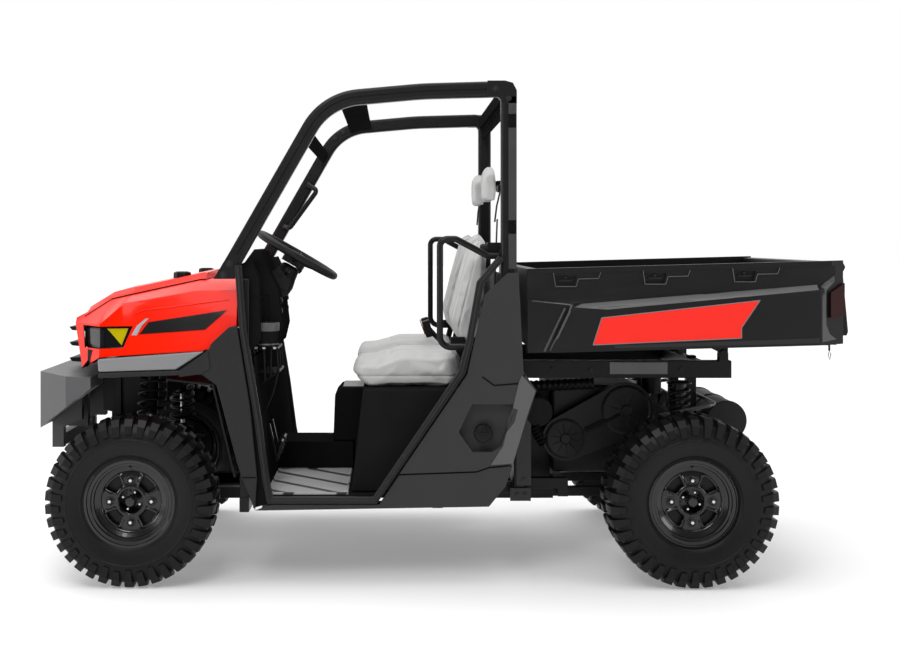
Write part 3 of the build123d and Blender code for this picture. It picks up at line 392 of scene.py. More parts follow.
# ---- Shocks: a damper inside its coil spring ----
# Each spring is one wound steel wire, coated black and held between two cups. The damper's bright rod
# shows below its black body.
SHOCKS = (  # foot, top, coil radius, winds
    ((1.112, 0.424, 0.446), (1.108, 0.335, 0.794), 0.05, 7.5),
    ((-0.945, 0.405, 0.446), (-0.945, 0.398, 0.736), 0.038, 8.0),
)
WIRE_RADIUS, STEPS_A_TURN = 0.006, 20
COIL_SPAN, CUP_PLACES, BODY_SPAN, ROD_SPAN = (0.15, 0.9), (0.12, 0.92), (0.42, 0.96), (0.02, 0.44)  # shares
shocks, rods = shapes(2)
for foot, top, coil, winds in SHOCKS:
    for side in (-1, 1):
        foot_place = Vector((foot[0], side * foot[1], foot[2]))
        run = Vector((top[0], side * top[1], top[2])) - foot_place
        along = run.normalized()
        out = along.orthogonal().normalized()
        across = along.cross(out)
        wire = []
        for step in range(int(winds * STEPS_A_TURN) + 1):
            turn = 2 * pi * step / STEPS_A_TURN
            height = COIL_SPAN[0] + (COIL_SPAN[1] - COIL_SPAN[0]) * step / (winds * STEPS_A_TURN)
            wire.append(foot_place + run * height + coil * (out * cos(turn) + across * sin(turn)))
        tube(shocks, wire, WIRE_RADIUS, 8)
        for height in CUP_PLACES:
            cup = [(0, 0), (coil + 0.01, 0), (coil + 0.01, 0.004), (coil - 0.006, 0.012), (0, 0.012)]
            lathe(shocks, cup, foot_place + run * height, along, 32)
        low, high = (run.length * share for share in BODY_SPAN)
        lathe(shocks, [(0, low), (0.024, low), (0.024, high), (0, high)], foot_place, along, 24)
        lathe(rods, [(0.01, run.length * share) for share in ROD_SPAN], foot_place, along, 16)
add_piece("shock_springs", shocks, steel_black, "spring_steel", "shocks", edge=(0.001, 1))
add_piece("shock_rods", rods, bright_steel, "spring_steel")


# ---- Tyres: lugged rubber that wraps down the sidewalls ----
# A smooth casing carries two rows of thick shoulder blocks. Long and short blocks alternate, and their
# ends stand on the sidewall. The rubber is matt, and a little grey where it has been handled.
TYRE_RADIUS = HUB_Z = 0.312
AXLE = ((0, 0, 0), (0, 1, 0))  # centre and axis of a wheel before it is put in its place
WHEELS = (  # name, axle x, middle y, tyre width, rim width, side
    ("front_left", 1.13, 0.63, 0.229, 0.186, 1),
    ("front_right", 1.13, 0.63, 0.229, 0.186, -1),
    ("rear_left", -0.93, 0.622, 0.279, 0.21, 1),
    ("rear_right", -0.93, 0.622, 0.279, 0.21, -1),
)
LUGS_A_SIDE, LUG_DEPTH = 38, 0.015


def tyre_shape(half):
    """Casing and blocks of a tyre round the Y axis through the origin."""
    shape = bmesh.new()
    tread = TYRE_RADIUS - LUG_DEPTH
    wall = [  # radius, distance from the tyre's middle
        (0.163, half - 0.032), (0.167, half - 0.02), (0.174, half - 0.0135), (0.1755, half - 0.0105),
        (0.179, half - 0.0103), (0.1805, half - 0.0115), (0.205, half - 0.003), (0.226, half - 0.0015),
        (0.2275, half + 0.0004), (0.2325, half + 0.0004), (0.234, half - 0.0015), (0.252, half - 0.004),
        (0.272, half - 0.012), (0.287, half - 0.024),
        (tread, half - 0.046),
    ]
    profile = [(r, -y) for r, y in wall] + wall[::-1] + [(0.163, half - 0.05), (0.163, 0.05 - half)]
    lathe(shape, profile + profile[:1], *AXLE, 96)
    for side in (-1, 1):
        for index, middle in enumerate(turns(LUGS_A_SIDE, pi / LUGS_A_SIDE if side > 0 else 0)):
            inner, foot = (0.036, 0.252) if index % 2 else (0.01, 0.244)  # short and long blocks
            line = [  # block's top: distance from the middle, radius, width
                (inner, TYRE_RADIUS, 0.024),
                (half - 0.044, TYRE_RADIUS, 0.03),
                (half - 0.016, TYRE_RADIUS - 0.005, 0.032),
                (half + 0.0005, 0.282, 0.031),
                (half + 0.003, foot, 0.026),
            ]
            root = [(inner, tread - 0.004), (half - 0.05, tread - 0.004), (half - 0.034, 0.282),
                    (half - 0.022, 0.268), (half - 0.012, foot - 0.004)]
            rings = []
            for (y, radius, width), (root_y, root_radius) in zip(line, root):
                ring = []
                for distance, r, spread in ((y, radius, width), (root_y, root_radius, width + 0.004)):
                    for end in (-1, 1):
                        turn = middle + end * spread / 2 / TYRE_RADIUS
                        ring.append(shape.verts.new((r * cos(turn), side * distance, r * sin(turn))))
                rings.append((ring[0], ring[1], ring[3], ring[2]))
            join_rings(shape, rings)
    return shape


rubber = finish("tyre_rubber", (0.0042, 0.0042, 0.0042), 0.45, grain=260, bump=0.4, spread=0.4)
for name, axle_x, middle_y, width, rim_width, side in WHEELS:
    shape = tyre_shape(width / 2)
    bmesh.ops.translate(shape, verts=shape.verts, vec=(axle_x, side * middle_y, HUB_Z))
    add_piece("lugged_tyre_" + name, shape, rubber, "tyre_rubber", "tyre_" + name,
              body="wheel_" + name, edge=(0.0012, 1))


# ---- Rims: dished black steel wheels ----
# A stepped rim is rolled round a pressed disc with four windows. Four bright nuts hold it, and a cap
# sits in the middle. Small ribs stand beside each window, and a dark brake disc lies behind the windows.
rim_black = finish("rim_black", (0.006, 0.006, 0.0065), 0.22, grain=700, bump=0.08, coat=0.3, shine=0.3)
NUT_CIRCLE, HUB_NUT_CIRCLE, HUB_NUT_TURN = 0.077, 0.033, 0.4
WINDOW_RADII, WINDOW_HALF_TURN = (0.066, 0.102), radians(17)
RIDGE_RADII, RIDGE_TURNS, RIDGE_HEIGHT = (0.06, 0.108), (radians(18), radians(24)), 0.004
RIM_STEPS, DISC_DEPTH = 96, 0.058
DISH = ((0.048, 0.03), (0.056, 0.034), (0.064, 0.036), (0.074, 0.036), (0.084, 0.036), (0.094, 0.037),
        (0.103, 0.038), (0.11, 0.04), (0.119, 0.03))  # radius, depth below the lip


def off_window(turn):
    """Turn from a direction to the middle of the nearest window."""
    off = (turn - pi / 4) % (pi / 2)
    return min(off, pi / 2 - off)


for name, axle_x, middle_y, width, rim_width, side in WHEELS:
    lip = rim_width / 2
    rim, nuts, disc = shapes(3)
    barrel = [  # radius, distance from the tyre's middle
        (0.1655, -lip), (0.158, 0.012 - lip), (0.15, 0.03 - lip), (0.15, lip - 0.064),
        (0.124, lip - 0.058), (0.119, lip - 0.028), (0.132, lip - 0.022), (0.1345, lip - 0.014),
        (0.142, lip - 0.013), (0.1445, lip - 0.005), (0.155, lip - 0.004), (0.158, lip + 0.001),
        (0.1655, lip), (0.1665, lip - 0.008), (0.16, lip - 0.012),
    ]
    lathe(rim, barrel, *AXLE, RIM_STEPS)
    rings = []
    for radius, depth in DISH:
        ring = []
        for turn in turns(RIM_STEPS):
            beside_window = RIDGE_TURNS[0] < off_window(turn) < RIDGE_TURNS[1]
            ridge = RIDGE_HEIGHT if beside_window and RIDGE_RADII[0] < radius < RIDGE_RADII[1] else 0
            ring.append(rim.verts.new((radius * cos(turn), lip - depth + ridge, radius * sin(turn))))
        rings.append(ring)
    for inner, outer, near, far in zip(DISH, DISH[1:], rings, rings[1:]):
        in_window = WINDOW_RADII[0] < (inner[0] + outer[0]) / 2 < WINDOW_RADII[1]
        for index, turn in enumerate(turns(RIM_STEPS, pi / RIM_STEPS)):
            if not (in_window and off_window(turn) < WINDOW_HALF_TURN):
                after = (index + 1) % RIM_STEPS
                rim.faces.new((near[index], near[after], far[after], far[index]))
    hub = [(0.048, lip - 0.03), (0.046, lip - 0.044), (0.044, lip - 0.115), (0, lip - 0.115)]
    cap = [(0, lip - 0.012), (0.015, lip - 0.013), (0.0185, lip - 0.018), (0.0185, lip - 0.06)]
    lathe(rim, hub, *AXLE)
    lathe(rim, cap, *AXLE, 32)
    for turn in turns(4):
        place = (NUT_CIRCLE * cos(turn), lip - 0.036, NUT_CIRCLE * sin(turn))
        lathe(rim, [(0.017, 0), (0.016, 0.003), (0.011, 0.003)], place, (0, 1, 0), 24)
        lathe(nuts, [(0, 0.018), (0.006, 0.018), (0.0095, 0.013), (0.0095, 0)], place, (0, 1, 0), 6)
        turn += HUB_NUT_TURN
        place = (HUB_NUT_CIRCLE * cos(turn), lip - 0.05, HUB_NUT_CIRCLE * sin(turn))
        lathe(nuts, [(0, 0.01), (0.004, 0.01), (0.0055, 0.007), (0.0055, 0)], place, (0, 1, 0), 6)
    lathe(rim, [(0, 0.012), (0.003, 0.012), (0.0045, 0)], (0, lip - 0.02, 0.127), (0, 1, 0), 12)
    near, far = lip - DISC_DEPTH, lip - DISC_DEPTH - 0.004
    lathe(disc, [(0.05, near), (0.116, near), (0.116, far), (0.05, far)], *AXLE, 64)
    for shape in (rim, nuts, disc):
        if side < 0:
            bmesh.ops.rotate(shape, verts=shape.verts, cent=(0, 0, 0), matrix=Matrix.Rotation(pi, 3, "Z"))
        bmesh.ops.translate(shape, verts=shape.verts, vec=(axle_x, side * middle_y, HUB_Z))
    body = "wheel_" + name
    pressed = add_piece("pressed_rim_" + name, rim, rim_black, "black_steel", "rim_" + name, body=body)
    sheet = pressed.modifiers.new("sheet", "SOLIDIFY")
    sheet.thickness, sheet.offset = 0.003, 0
    add_piece("wheel_nuts_" + name, nuts, bright_steel, "black_steel", body=body)
    add_piece("brake_disc_" + name, disc, steel_black, "black_steel", body=body)


# ---- Floor: moulded pan with ribbed mats ----
# A black pan holds a loose grey rubber mat in each footwell. Diagonal grooves drain the mats, and
# their rims stand a little proud.
FLOOR_TOP, MAT_THICKNESS = 0.334, 0.004
GROOVE_EDGES = (0.06, 0.14)  # share of a wave


def mat_material():
    """Grey rubber with narrow dark grooves that run diagonally."""
    material = finish("mat_grey", (0.33, 0.33, 0.33), 0.55, grain=500, bump=0.4, spread=0.12)
    tree = material.node_tree
    shader = tree.nodes["Principled BSDF"]
    place = add_node(tree, "ShaderNodeTexCoord", {}).outputs["Object"]
    waves = add_node(tree, "ShaderNodeTexWave", {"Vector": place, "Scale": 3.2}, bands_direction="DIAGONAL")
    narrow = add_node(tree, "ShaderNodeValToRGB", {"Fac": waves.outputs["Fac"]})
    narrow.color_ramp.elements[0].position, narrow.color_ramp.elements[1].position = GROOVE_EDGES
    tinted = shader.inputs["Base Color"].links[0].from_socket
    grooved = add_node(tree, "ShaderNodeMix", {
        "Factor": narrow.outputs["Color"], "A": (0.03, 0.03, 0.03, 1), "B": tinted}, data_type="RGBA")
    set_inputs(tree, shader, {"Base Color": grooved.outputs["Result"]})
    return material


mat_grey = mat_material()
interior_black = finish("interior_black", (0.01, 0.01, 0.0104), 0.6, grain=700, bump=0.3, shine=0.0)
finish_node("floor_pan", interior_black)
mats = bmesh.new()
for side in (-1, 1):
    block(mats, (0.332, FLOOR_TOP), (0.636, FLOOR_TOP + MAT_THICKNESS), side * 0.412, 0.27)
    rim_path = [(0.336, 0.146), (0.632, 0.146), (0.632, 0.678), (0.336, 0.678)]
    tube(mats, [(x, side * y, FLOOR_TOP + 0.005) for x, y in rim_path], 0.004, 8, closed=True)
add_piece("floor_mats", mats, mat_grey, "floor_mat", edge=(0.001, 1))


# ---- Nose: glossy orange cowl and hood ----
# Two thick gloss mouldings. The hood turns up on hinges at its front edge and is held by two round
# black knobs. Bare black and silver patches lie on the cowl's sides.
def gloss_material(name, colour, roughness=0.2):
    """Gloss moulded in its colour, under a clear coat with slight orange peel."""
    return finish(name, colour, roughness, grain=90, bump=0.015, spread=0.04, coat=0.07, shine=0.08)


def surface(node):
    """Search tree of a CAD node's mesh."""
    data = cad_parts[node].data
    return BVHTree.FromPolygons([v.co[:] for v in data.vertices], [p.vertices[:] for p in data.polygons])


def skin_y(tree, x, z, side):
    """Distance from the middle of the outer skin at (x, z)."""
    place, normal, index, distance = tree.ray_cast(Vector((x, side * 2, z)), Vector((0, -side, 0)))
    return place.y if place else None


def patch(shape, tree, outline, side, lift=0.001, thickness=0.0015, cuts=5):
    """Adds a thin plate of the side-view outline that follows the skin, standing off by lift."""
    face = shape.faces.new([shape.verts.new((x, 0, z)) for x, z in outline])
    face.normal_update()
    made = bmesh.ops.triangulate(shape, faces=[face])["faces"]
    edges = list({edge for part in made for edge in part.edges})
    bmesh.ops.subdivide_edges(shape, edges=edges, cuts=cuts, use_grid_fill=True)
    front = [face for face in shape.faces if all(vert.co.y == 0 for vert in face.verts)]
    verts = list({vert for face in front for vert in face.verts})
    known = None
    for vert in verts:
        y = skin_y(tree, vert.co.x, vert.co.z, side)
        known = y if y is not None else known
        vert.co.y = (y if y is not None else known or side * 0.7) + side * (lift + thickness)
    back = bmesh.ops.extrude_face_region(shape, geom=front)
    moved = [item for item in back["geom"] if isinstance(item, bmesh.types.BMVert)]
    bmesh.ops.translate(shape, verts=moved, vec=(0, -side * (thickness + lift + 0.0005), 0))


def skin_line(shape, tree, points, side, width=0.004, lift=0.0006):
    """Adds a narrow line along the points, pressed on to the skin. Its shape's material colours it: mostly a
    dark seam, and on the bed's shoulder a painted highlight.
    """
    for (x, z), (next_x, next_z) in zip(points, points[1:]):
        run = Vector((next_x - x, next_z - z))
        across = Vector((-run.y, run.x)).normalized() * width / 2
        corners = [(x + across.x, z + across.y), (next_x + across.x, next_z + across.y),
                   (next_x - across.x, next_z - across.y), (x - across.x, z - across.y)]
        patch(shape, tree, corners, side, lift, 0.0006, cuts=2)


orange = gloss_material("orange_gloss", (0.78, 0.011, 0.0004))
dark_gloss = gloss_material("dark_gloss", (0.006, 0.006, 0.0065), 0.25)
silver_trim = gloss_material("silver_trim", (0.3, 0.3, 0.31), 0.3)
yellow_marker = gloss_material("yellow_marker", (0.42, 0.36, 0.0), 0.3)
line_black = finish("line_black", (0.002, 0.002, 0.002), 0.6, grain=600, bump=0.1, shine=0.1)
rounded("cowl", orange, "orange_panel", 0.005, 3)
rounded("hood", orange, "orange_panel", 0.004, 3, body="hood")
cowl_skin, hood_skin = surface("cowl"), surface("hood")
BADGE = [(1.102, 0.924), (1.069, 0.968), (0.7805, 1.012), (0.8596, 0.9406)]
SWOOSH = [(1.131, 0.92), (1.112, 0.955), (1.081, 0.981), (1.069, 0.981), (1.094, 0.955), (1.111, 0.92)]
RIDGE = [(1.124, 0.995), (1.095, 1.01), (0.93, 1.031), (0.775, 1.05)]
CORNER_SLOT = [(1.308, 0.864), (1.281, 0.862), (1.289, 0.845), (1.301, 0.8), (1.31, 0.8)]
LID_SEAM = ((1.341, 0.98), (1.246, 1.043), (1.164, 1.062), (0.904, 1.118), (0.884, 1.119))  # x, z
LID_SEAM_Y, GASKET_RADIUS, SLOPE_STEPS = 0.477, 0.0026, 6
badges, swooshes, ridges, gaskets = shapes(4)
for side in (-1, 1):
    patch(badges, cowl_skin, BADGE, side)
    patch(swooshes, cowl_skin, SWOOSH, side, cuts=2)
    line = [(x, skin_y(cowl_skin, x, z, side) + side * 0.001, z) for x, z in RIDGE]
    tube(ridges, line, 0.003, 8)
    patch(gaskets, cowl_skin, CORNER_SLOT, side, 0.0006, 0.0008, cuts=2)
    tube(gaskets, [(x, side * LID_SEAM_Y, z + 0.002) for x, z in LID_SEAM[1:]], GASKET_RADIUS, 8)
    front, rear = Vector(LID_SEAM[0]), Vector(LID_SEAM[1])
    slope = [front.lerp(rear, step / SLOPE_STEPS) for step in range(SLOPE_STEPS + 1)]
    reach = [max(abs(skin_y(skin, x, z, side) or 0) for skin in (cowl_skin, hood_skin)) for x, z in slope]
    line = [(x, side * (y + 0.0005), z) for (x, z), y in zip(slope, reach) if y]
    tube(gaskets, line, GASKET_RADIUS, 8)
block(gaskets, (1.318, 0.956), (1.354, 0.96), 0, 0.46)
add_piece("side_badges", badges, dark_gloss, "black_plastic")
add_piece("side_swooshes", swooshes, silver_trim, "silver_panel")
add_piece("hood_gaskets", gaskets, line_black, "black_plastic")
add_piece("cowl_ridges", ridges, orange, "orange_panel")

KNOB_X, KNOB_Y, KNOB_Z, GRIP_CIRCLE = 0.995, 0.345, 1.121, 0.028
knobs = bmesh.new()
for side in (-1, 1):
    place = (KNOB_X, side * KNOB_Y, KNOB_Z)
    lathe(knobs, [(0, 0.027), (0.023, 0.027), (0.0285, 0.022), (0.0285, 0)], place, (0, 0, 1), 32)
    for turn in turns(6):
        grip = (KNOB_X + GRIP_CIRCLE * cos(turn), side * KNOB_Y + GRIP_CIRCLE * sin(turn), KNOB_Z)
        lathe(knobs, [(0, 0.024), (0.006, 0.023), (0.007, 0)], grip, (0, 0, 1), 12)
add_piece("hood_knobs", knobs, plastic_black, "black_plastic", body="hood", edge=(0.001, 1))

# Headlamps sit in dark recesses on the cowl's corners: a smoked lens in a gloss housing, a black block
# that closes the recess behind it, and a yellow marker.
lamp_skin = surface("headlamps")
finish_node("headlamps", dark_gloss)
LENS = [(1.312, 0.884), (1.318, 0.94), (1.232, 0.941), (1.232, 0.878)]
MARKER = [(1.221, 0.944), (1.146, 0.944), (1.168, 0.883)]
lenses, markers, backs = shapes(3)
for side in (-1, 1):
    patch(lenses, lamp_skin, LENS, side, 0.002, 0.003)
    patch(markers, lamp_skin, MARKER, side, 0.002, 0.003)
    block(backs, (1.3, 0.868), (1.33, 0.948), side * 0.545, 0.008)
clear_lens = finish(
    "clear_lens", (0.008, 0.008, 0.009), 0.1, grain=60, bump=0.3, spread=0.6, coat=0.15, shine=0.1
)
add_piece("lamp_lenses", lenses, clear_lens, "lamp_lens")
add_piece("yellow_markers", markers, yellow_marker, "lamp_lens")
add_piece("lamp_backs", backs, line_black, "black_plastic")

# The grille is three thick black blades over a fine mesh.
MESH_PITCH = 0.02
rounded("grille", plastic_black, "black_plastic", 0.003)
mesh_bars = bmesh.new()
for index in range(42):
    block(mesh_bars, (1.35, 0.793), (1.353, 0.928), -0.408 + MESH_PITCH * index, 0.002)
for index in range(7):
    z = 0.8 + MESH_PITCH * index
    block(mesh_bars, (1.35, z), (1.3535, z + 0.003), 0, 0.425)
add_piece("grille_mesh", mesh_bars, plastic_black, "black_plastic")


# ---- Flares, fenders and bumper ----
# A satin silver strip runs over each front wheel, and a dark grey fender falls behind it to the sill.
# The bumper is a folded steel shell, bolted on through its face, with a row of narrow slots.
silver = finish("silver_satin", (0.19, 0.19, 0.195), 0.34, bump=0.08, spread=0.06)
fender_grey = finish("fender_grey", (0.015, 0.015, 0.0155), 0.42, bump=0.22, spread=0.12)
bumper_grey = finish("bumper_grey", (0.075, 0.075, 0.078), 0.38, bump=0.12, spread=0.08)
rounded("fender_flares", silver, "silver_panel", 0.006, 3)
rounded("front_fenders", fender_grey, "dark_grey_panel", 0.005, 3)
rounded("front_bumper", bumper_grey, "dark_grey_panel", 0.005, 3)
finish_node("wheel_liners", plastic_black)
fender_skin = surface("front_fenders")
FENDER_SEAM = [(0.667, 0.402), (0.718, 0.402)]
BLOCK_FACET = [(0.949, 0.7925), (0.843, 0.866), (0.836, 0.8), (0.867, 0.781), (0.948, 0.77)]
JOINTS = (  # x, z of the dark strips behind the open joints, and how far out they stand
    ([(1.246, 0.78), (1.246, 0.794), (0.957, 0.803), (0.856, 0.87), (0.84, 0.868), (0.951, 0.788)],
     0.704),
    ([(0.725, 0.945), (0.752, 0.95), (0.7, 0.66), (0.674, 0.402), (0.682, 0.286), (0.63, 0.3),
      (0.645, 0.392), (0.668, 0.615)], 0.689),
    ([(0.146, 0.4), (0.146, 0.422), (-0.139, 0.43), (-0.18, 0.446), (-0.268, 0.455), (-0.262, 0.434),
      (-0.186, 0.428), (-0.139, 0.412)], 0.695),
)
seams, facets, joints, bumper_bolts, slots = shapes(5)
for side in (-1, 1):
    skin_line(seams, fender_skin, FENDER_SEAM, side, 0.005)
    patch(facets, fender_skin, BLOCK_FACET, side, 0.002, 0.002)
    for outline, reach in JOINTS:
        prism(joints, outline, side * (reach - 0.003), 0.003)
    for y, z in ((0.4, 0.72), (0.4, 0.6), (0.15, 0.72), (0.15, 0.6)):
        bolt(bumper_bolts, (1.525, side * y, z), (1, 0, 0), 0.009, 0.006)
for index in range(5):
    block(slots, (1.5245, 0.648), (1.5262, 0.664), -0.24 + 0.12 * index, 0.045)
add_piece("joint_strips", joints, line_black, "black_plastic")
add_piece("fender_seams", seams, line_black, "dark_grey_panel")
add_piece("fender_blocks", facets, fender_grey, "dark_grey_panel", edge=(0.001, 1))
add_piece("bumper_bolts", bumper_bolts, steel_black, "dark_grey_panel")
add_piece("bumper_slots", slots, line_black, "dark_grey_panel")


# ---- Cab shell: door trims, side panels and rockers ----
# Black trim with a rubber bead outlines each door opening. The rear side panel is a dark grey moulding
# with a painted highlight, a lighter plate, on a facet along the opening, and it holds the fuel cap in a
# six-sided recess.
DOOR = [
    (0.735, 1.179), (0.717, 0.941), (0.662, 0.611), (0.633, 0.391), (0.618, 0.318), (0.233, 0.318),
    (-0.086, 0.787), (-0.115, 0.904), (-0.152, 1.113), (-0.229, 1.206),
]
PANEL_SEAM = [(-0.16, 0.77), (-0.2035, 0.7385), (-0.304, 0.7465), (-0.315, 0.779)]
FACET = [(-0.305, 0.776), (-0.355, 0.719), (-0.326, 0.633), (-0.272, 0.452), (-0.19, 0.447),
         (-0.237, 0.518), (-0.273, 0.659), (-0.293, 0.747)]
BEAD_Y, LIP_Y, LIP_OFFSET = 0.711, 0.7095, 0.0095
CAP_X, CAP_Y, CAP_Z, CAP_GRIP_CIRCLE = -0.165, 0.694, 0.561, 0.0325
rubber_bead = finish("rubber_bead", (0.016, 0.016, 0.016), 0.6, grain=500, bump=0.25)
trim_grey = finish("trim_grey", (0.018, 0.018, 0.0185), 0.42, grain=700, bump=0.25)
panel_grey = finish("panel_grey", (0.027, 0.027, 0.028), 0.42, bump=0.22, spread=0.12)
rounded("door_trims", trim_grey, "black_plastic", 0.004)
rounded("rear_side_panels", panel_grey, "dark_grey_panel", 0.003)
rounded("rocker_panels", panel_grey, "dark_grey_panel", 0.003)
rounded("cab_rear_panel", plastic_black, "black_plastic", 0.004)
finish_node("fuel_cap", plastic_black)
# pale grey: the console plate and the cup holder bands have it as their own colour, and on the side panel's
# facet it is a painted highlight
pale_grey_and_painted_highlight = finish("pale_grey_and_painted_highlight", (0.085, 0.085, 0.087), 0.36, spread=0.08)
side_skin = surface("rear_side_panels")
beads, panel_seams, facets, caps = shapes(4)
for side in (-1, 1):
    tube(beads, [(x, side * BEAD_Y, z) for x, z in DOOR], 0.0055, 8)
    for nudge in (-LIP_OFFSET, LIP_OFFSET):
        line = [(x + nudge * 0.98, side * LIP_Y, z - LIP_OFFSET * (z < 0.35) * 0.5) for x, z in DOOR]
        tube(beads, line, 0.0022, 6)
    skin_line(panel_seams, side_skin, PANEL_SEAM, side, 0.006)
    # painted highlight: a lighter plate laid on the side panel's facet along the opening
    patch(facets, side_skin, FACET, side, 0.001, 0.0015, cuts=2)
    cap = [(0, 0.014), (0.018, 0.014), (0.031, 0.01), (0.034, 0)]
    lathe(caps, cap, (CAP_X, side * CAP_Y, CAP_Z), (0, side, 0), 40)
    for turn in turns(12):
        x, z = CAP_X + CAP_GRIP_CIRCLE * cos(turn), CAP_Z + CAP_GRIP_CIRCLE * sin(turn)
        lathe(caps, [(0, 0.01), (0.003, 0.01), (0.0035, 0)], (x, side * CAP_Y, z), (0, side, 0), 8)
    block(caps, (CAP_X - 0.024, CAP_Z - 0.005), (CAP_X + 0.024, CAP_Z + 0.005), side * 0.708, 0.003)
add_piece("door_beads", beads, rubber_bead, "black_plastic")
add_piece("side_panel_seams", panel_seams, line_black, "dark_grey_panel")
add_piece("side_panel_highlights", facets, pale_grey_and_painted_highlight, "dark_grey_panel")
add_piece("fuel_cap_grips", caps, plastic_black, "black_plastic", edge=(0.001, 1))


# ---- Dashboard, console and pedals ----
# A grained black moulding with a pod before the driver, a cup holder beside it and an open tray
# below. The console between the seats is capped with a grey plate that holds the belt buckles.
rounded("dashboard", interior_black, "black_plastic", 0.009, 3)
rounded("seat_base", interior_black, "black_plastic", 0.012, 3)
rounded("centre_console", interior_black, "black_plastic", 0.008, 3)
finish_node("pedals", steel_black)
finish_node("steering_column", steel_black)
dash_skin = surface("dashboard")
TRAY = [(0.694, 0.862), (0.677, 0.717), (0.599, 0.776), (0.606, 0.862)]
TRAY_Y = (0.36, 0.46, 0.56)
dash_seams, tray, screws, levers, cup, console_plate, pads = shapes(7)
skin_line(dash_seams, dash_skin, [(0.727, 1.055), (0.64, 1.06), (0.604, 1.075)], 1, 0.004)
skin_line(dash_seams, dash_skin, [(0.64, 1.06), (0.632, 0.99), (0.64, 0.925), (0.622, 0.876)], 1, 0.004)
for y in TRAY_Y:
    tube(tray, [(x, y, z) for x, z in TRAY], 0.006, 8, closed=True)
for x, foot, radius in ((0.655, (0.65, 0.74), 0.005), (0.628, (0.628, 0.757), 0.004)):
    tube(tray, [(x, TRAY_Y[-1], 0.862), (foot[0], TRAY_Y[-1], foot[1])], radius, 8)
for x, z in TRAY:
    tube(tray, [(x, TRAY_Y[0], z), (x, TRAY_Y[-1], z)], 0.006, 8)
brace = [(0.601, 0.56, 0.77), (0.622, 0.545, 0.69), (0.652, 0.53, 0.625), (0.7, 0.52, 0.6)]
tube(tray, brace, 0.005, 8)
block(tray, (0.612, 0.77), (0.69, 0.774), TRAY_Y[1], 0.1)
for x in (0.683, 0.653, 0.613):
    bolt(screws, (x, 0.567, 0.866), (0, 1, 0), 0.004, 0.004)
cup_bands = (  # height, profile
    (0.93, [(0.0445, 0), (0.0455, 0.004), (0.0455, 0.028), (0.0435, 0.032)]),
    (0.878, [(0.0435, 0), (0.0445, 0.003), (0.0435, 0.006)]),
)
for z, band in cup_bands:
    lathe(cup, band, (0.64, 0.57, z), (0, 0, 1), 40)
tube(levers, [(0.588, 0.215, 1.09), (0.566, 0.205, 1.122), (0.556, 0.2, 1.142)], 0.007, 10)
lever_knob = [(0, 0.03), (0.012, 0.027), (0.017, 0.014), (0.012, 0.002), (0, 0)]
lathe(levers, lever_knob, (0.556, 0.2, 1.138), (-0.5, 0, 1), 24)
for y, z in ((0.18, 1.04), (0.18, 1.0), (0.48, 1.04), (0.48, 1.0)):
    lathe(levers, [(0, 0.009), (0.01, 0.008), (0.012, 0)], (0.598, y, z), (-1, 0, 0.15), 20)
add_piece("dash_seams", dash_seams, line_black, "black_plastic")
add_piece("dash_tray", tray, plastic_black, "black_plastic", edge=(0.001, 1))
add_piece("tray_screws", screws, bright_steel, "grey_metal")
add_piece("cup_holder_bands", cup, pale_grey_and_painted_highlight, "dark_grey_panel")
add_piece("dash_controls", levers, plastic_black, "black_plastic", edge=(0.0008, 1))
block(console_plate, (-0.055, 0.668), (0.372, 0.672), 0, 0.112)
PEDAL_FOOT, PEDAL_LEAN = (0.61, 0.424), 0.289
for y, half in ((0.43, 0.024), (0.3, 0.036)):
    for index in range(5):
        z = 0.43 + 0.014 * index
        x = PEDAL_FOOT[0] - (z - PEDAL_FOOT[1]) * PEDAL_LEAN
        tube(pads, [(x, y - half, z), (x, y + half, z)], 0.003, 6)
add_piece("console_plate", console_plate, pale_grey_and_painted_highlight, "silver_panel", edge=(0.002, 2))
add_piece("pedal_ribs", pads, rubber_bead, "black_steel")


# ---- Seats: padded vinyl, blown up and stitched ----
# Foam cushions in pale grey vinyl. Their sides pull in, their tops are crowned, and sewn channels run
# up the backs. Each head restraint has an upright slot.
SEAT_Y = 0.33
PADS = (  # node, side-view outline, half width, fall at the sides, voxel, cap, fill
    ("seat_cushions", [(0.304, 0.742), (0.333, 0.78), (0.318, 0.806), (0.236, 0.812), (0.136, 0.842),
                       (-0.034, 0.842), (-0.088, 0.848), (-0.094, 0.762), (-0.082, 0.727), (0.28, 0.727)],
     0.232, 0.02, 0.008, 0.009, 0.7),
    ("seat_backs", [(-0.082, 0.88), (-0.066, 0.975), (-0.102, 1.128), (-0.148, 1.29), (-0.166, 1.308),
                    (-0.184, 1.29), (-0.17, 1.06), (-0.15, 0.892), (-0.118, 0.888)],
     0.216, 0.085, 0.008, 0.01, 0.7),
    ("head_restraints", [(-0.19, 1.434), (-0.186, 1.538), (-0.2, 1.558), (-0.224, 1.558), (-0.23, 1.5),
                         (-0.226, 1.424), (-0.198, 1.424)],
     0.13, 0.034, 0.005, 0.008, 0.8),
)
FORM_STATIONS = (-1, -0.96, -0.86, -0.6, -0.3, 0, 0.3, 0.6, 0.86, 0.96, 1)
CUSHION_CHANNELS, BACK_CHANNELS = (-0.105, 0.105), (-0.135, -0.048, 0.048, 0.135)
BACK_SEWING, CUSHION_SEWING = (0.008, 0.011), (0.0055, 0.005)  # half width, depth
CREASE, SIDE_SEAM = (0.008, 0.004), (0.004, 0.0035)
REST_SLOT_Z, REST_SLOT_HALF, REST_SLOT_DEPTH = 1.492, (0.016, 0.036), 0.024
BLOWING_FRAMES = 20


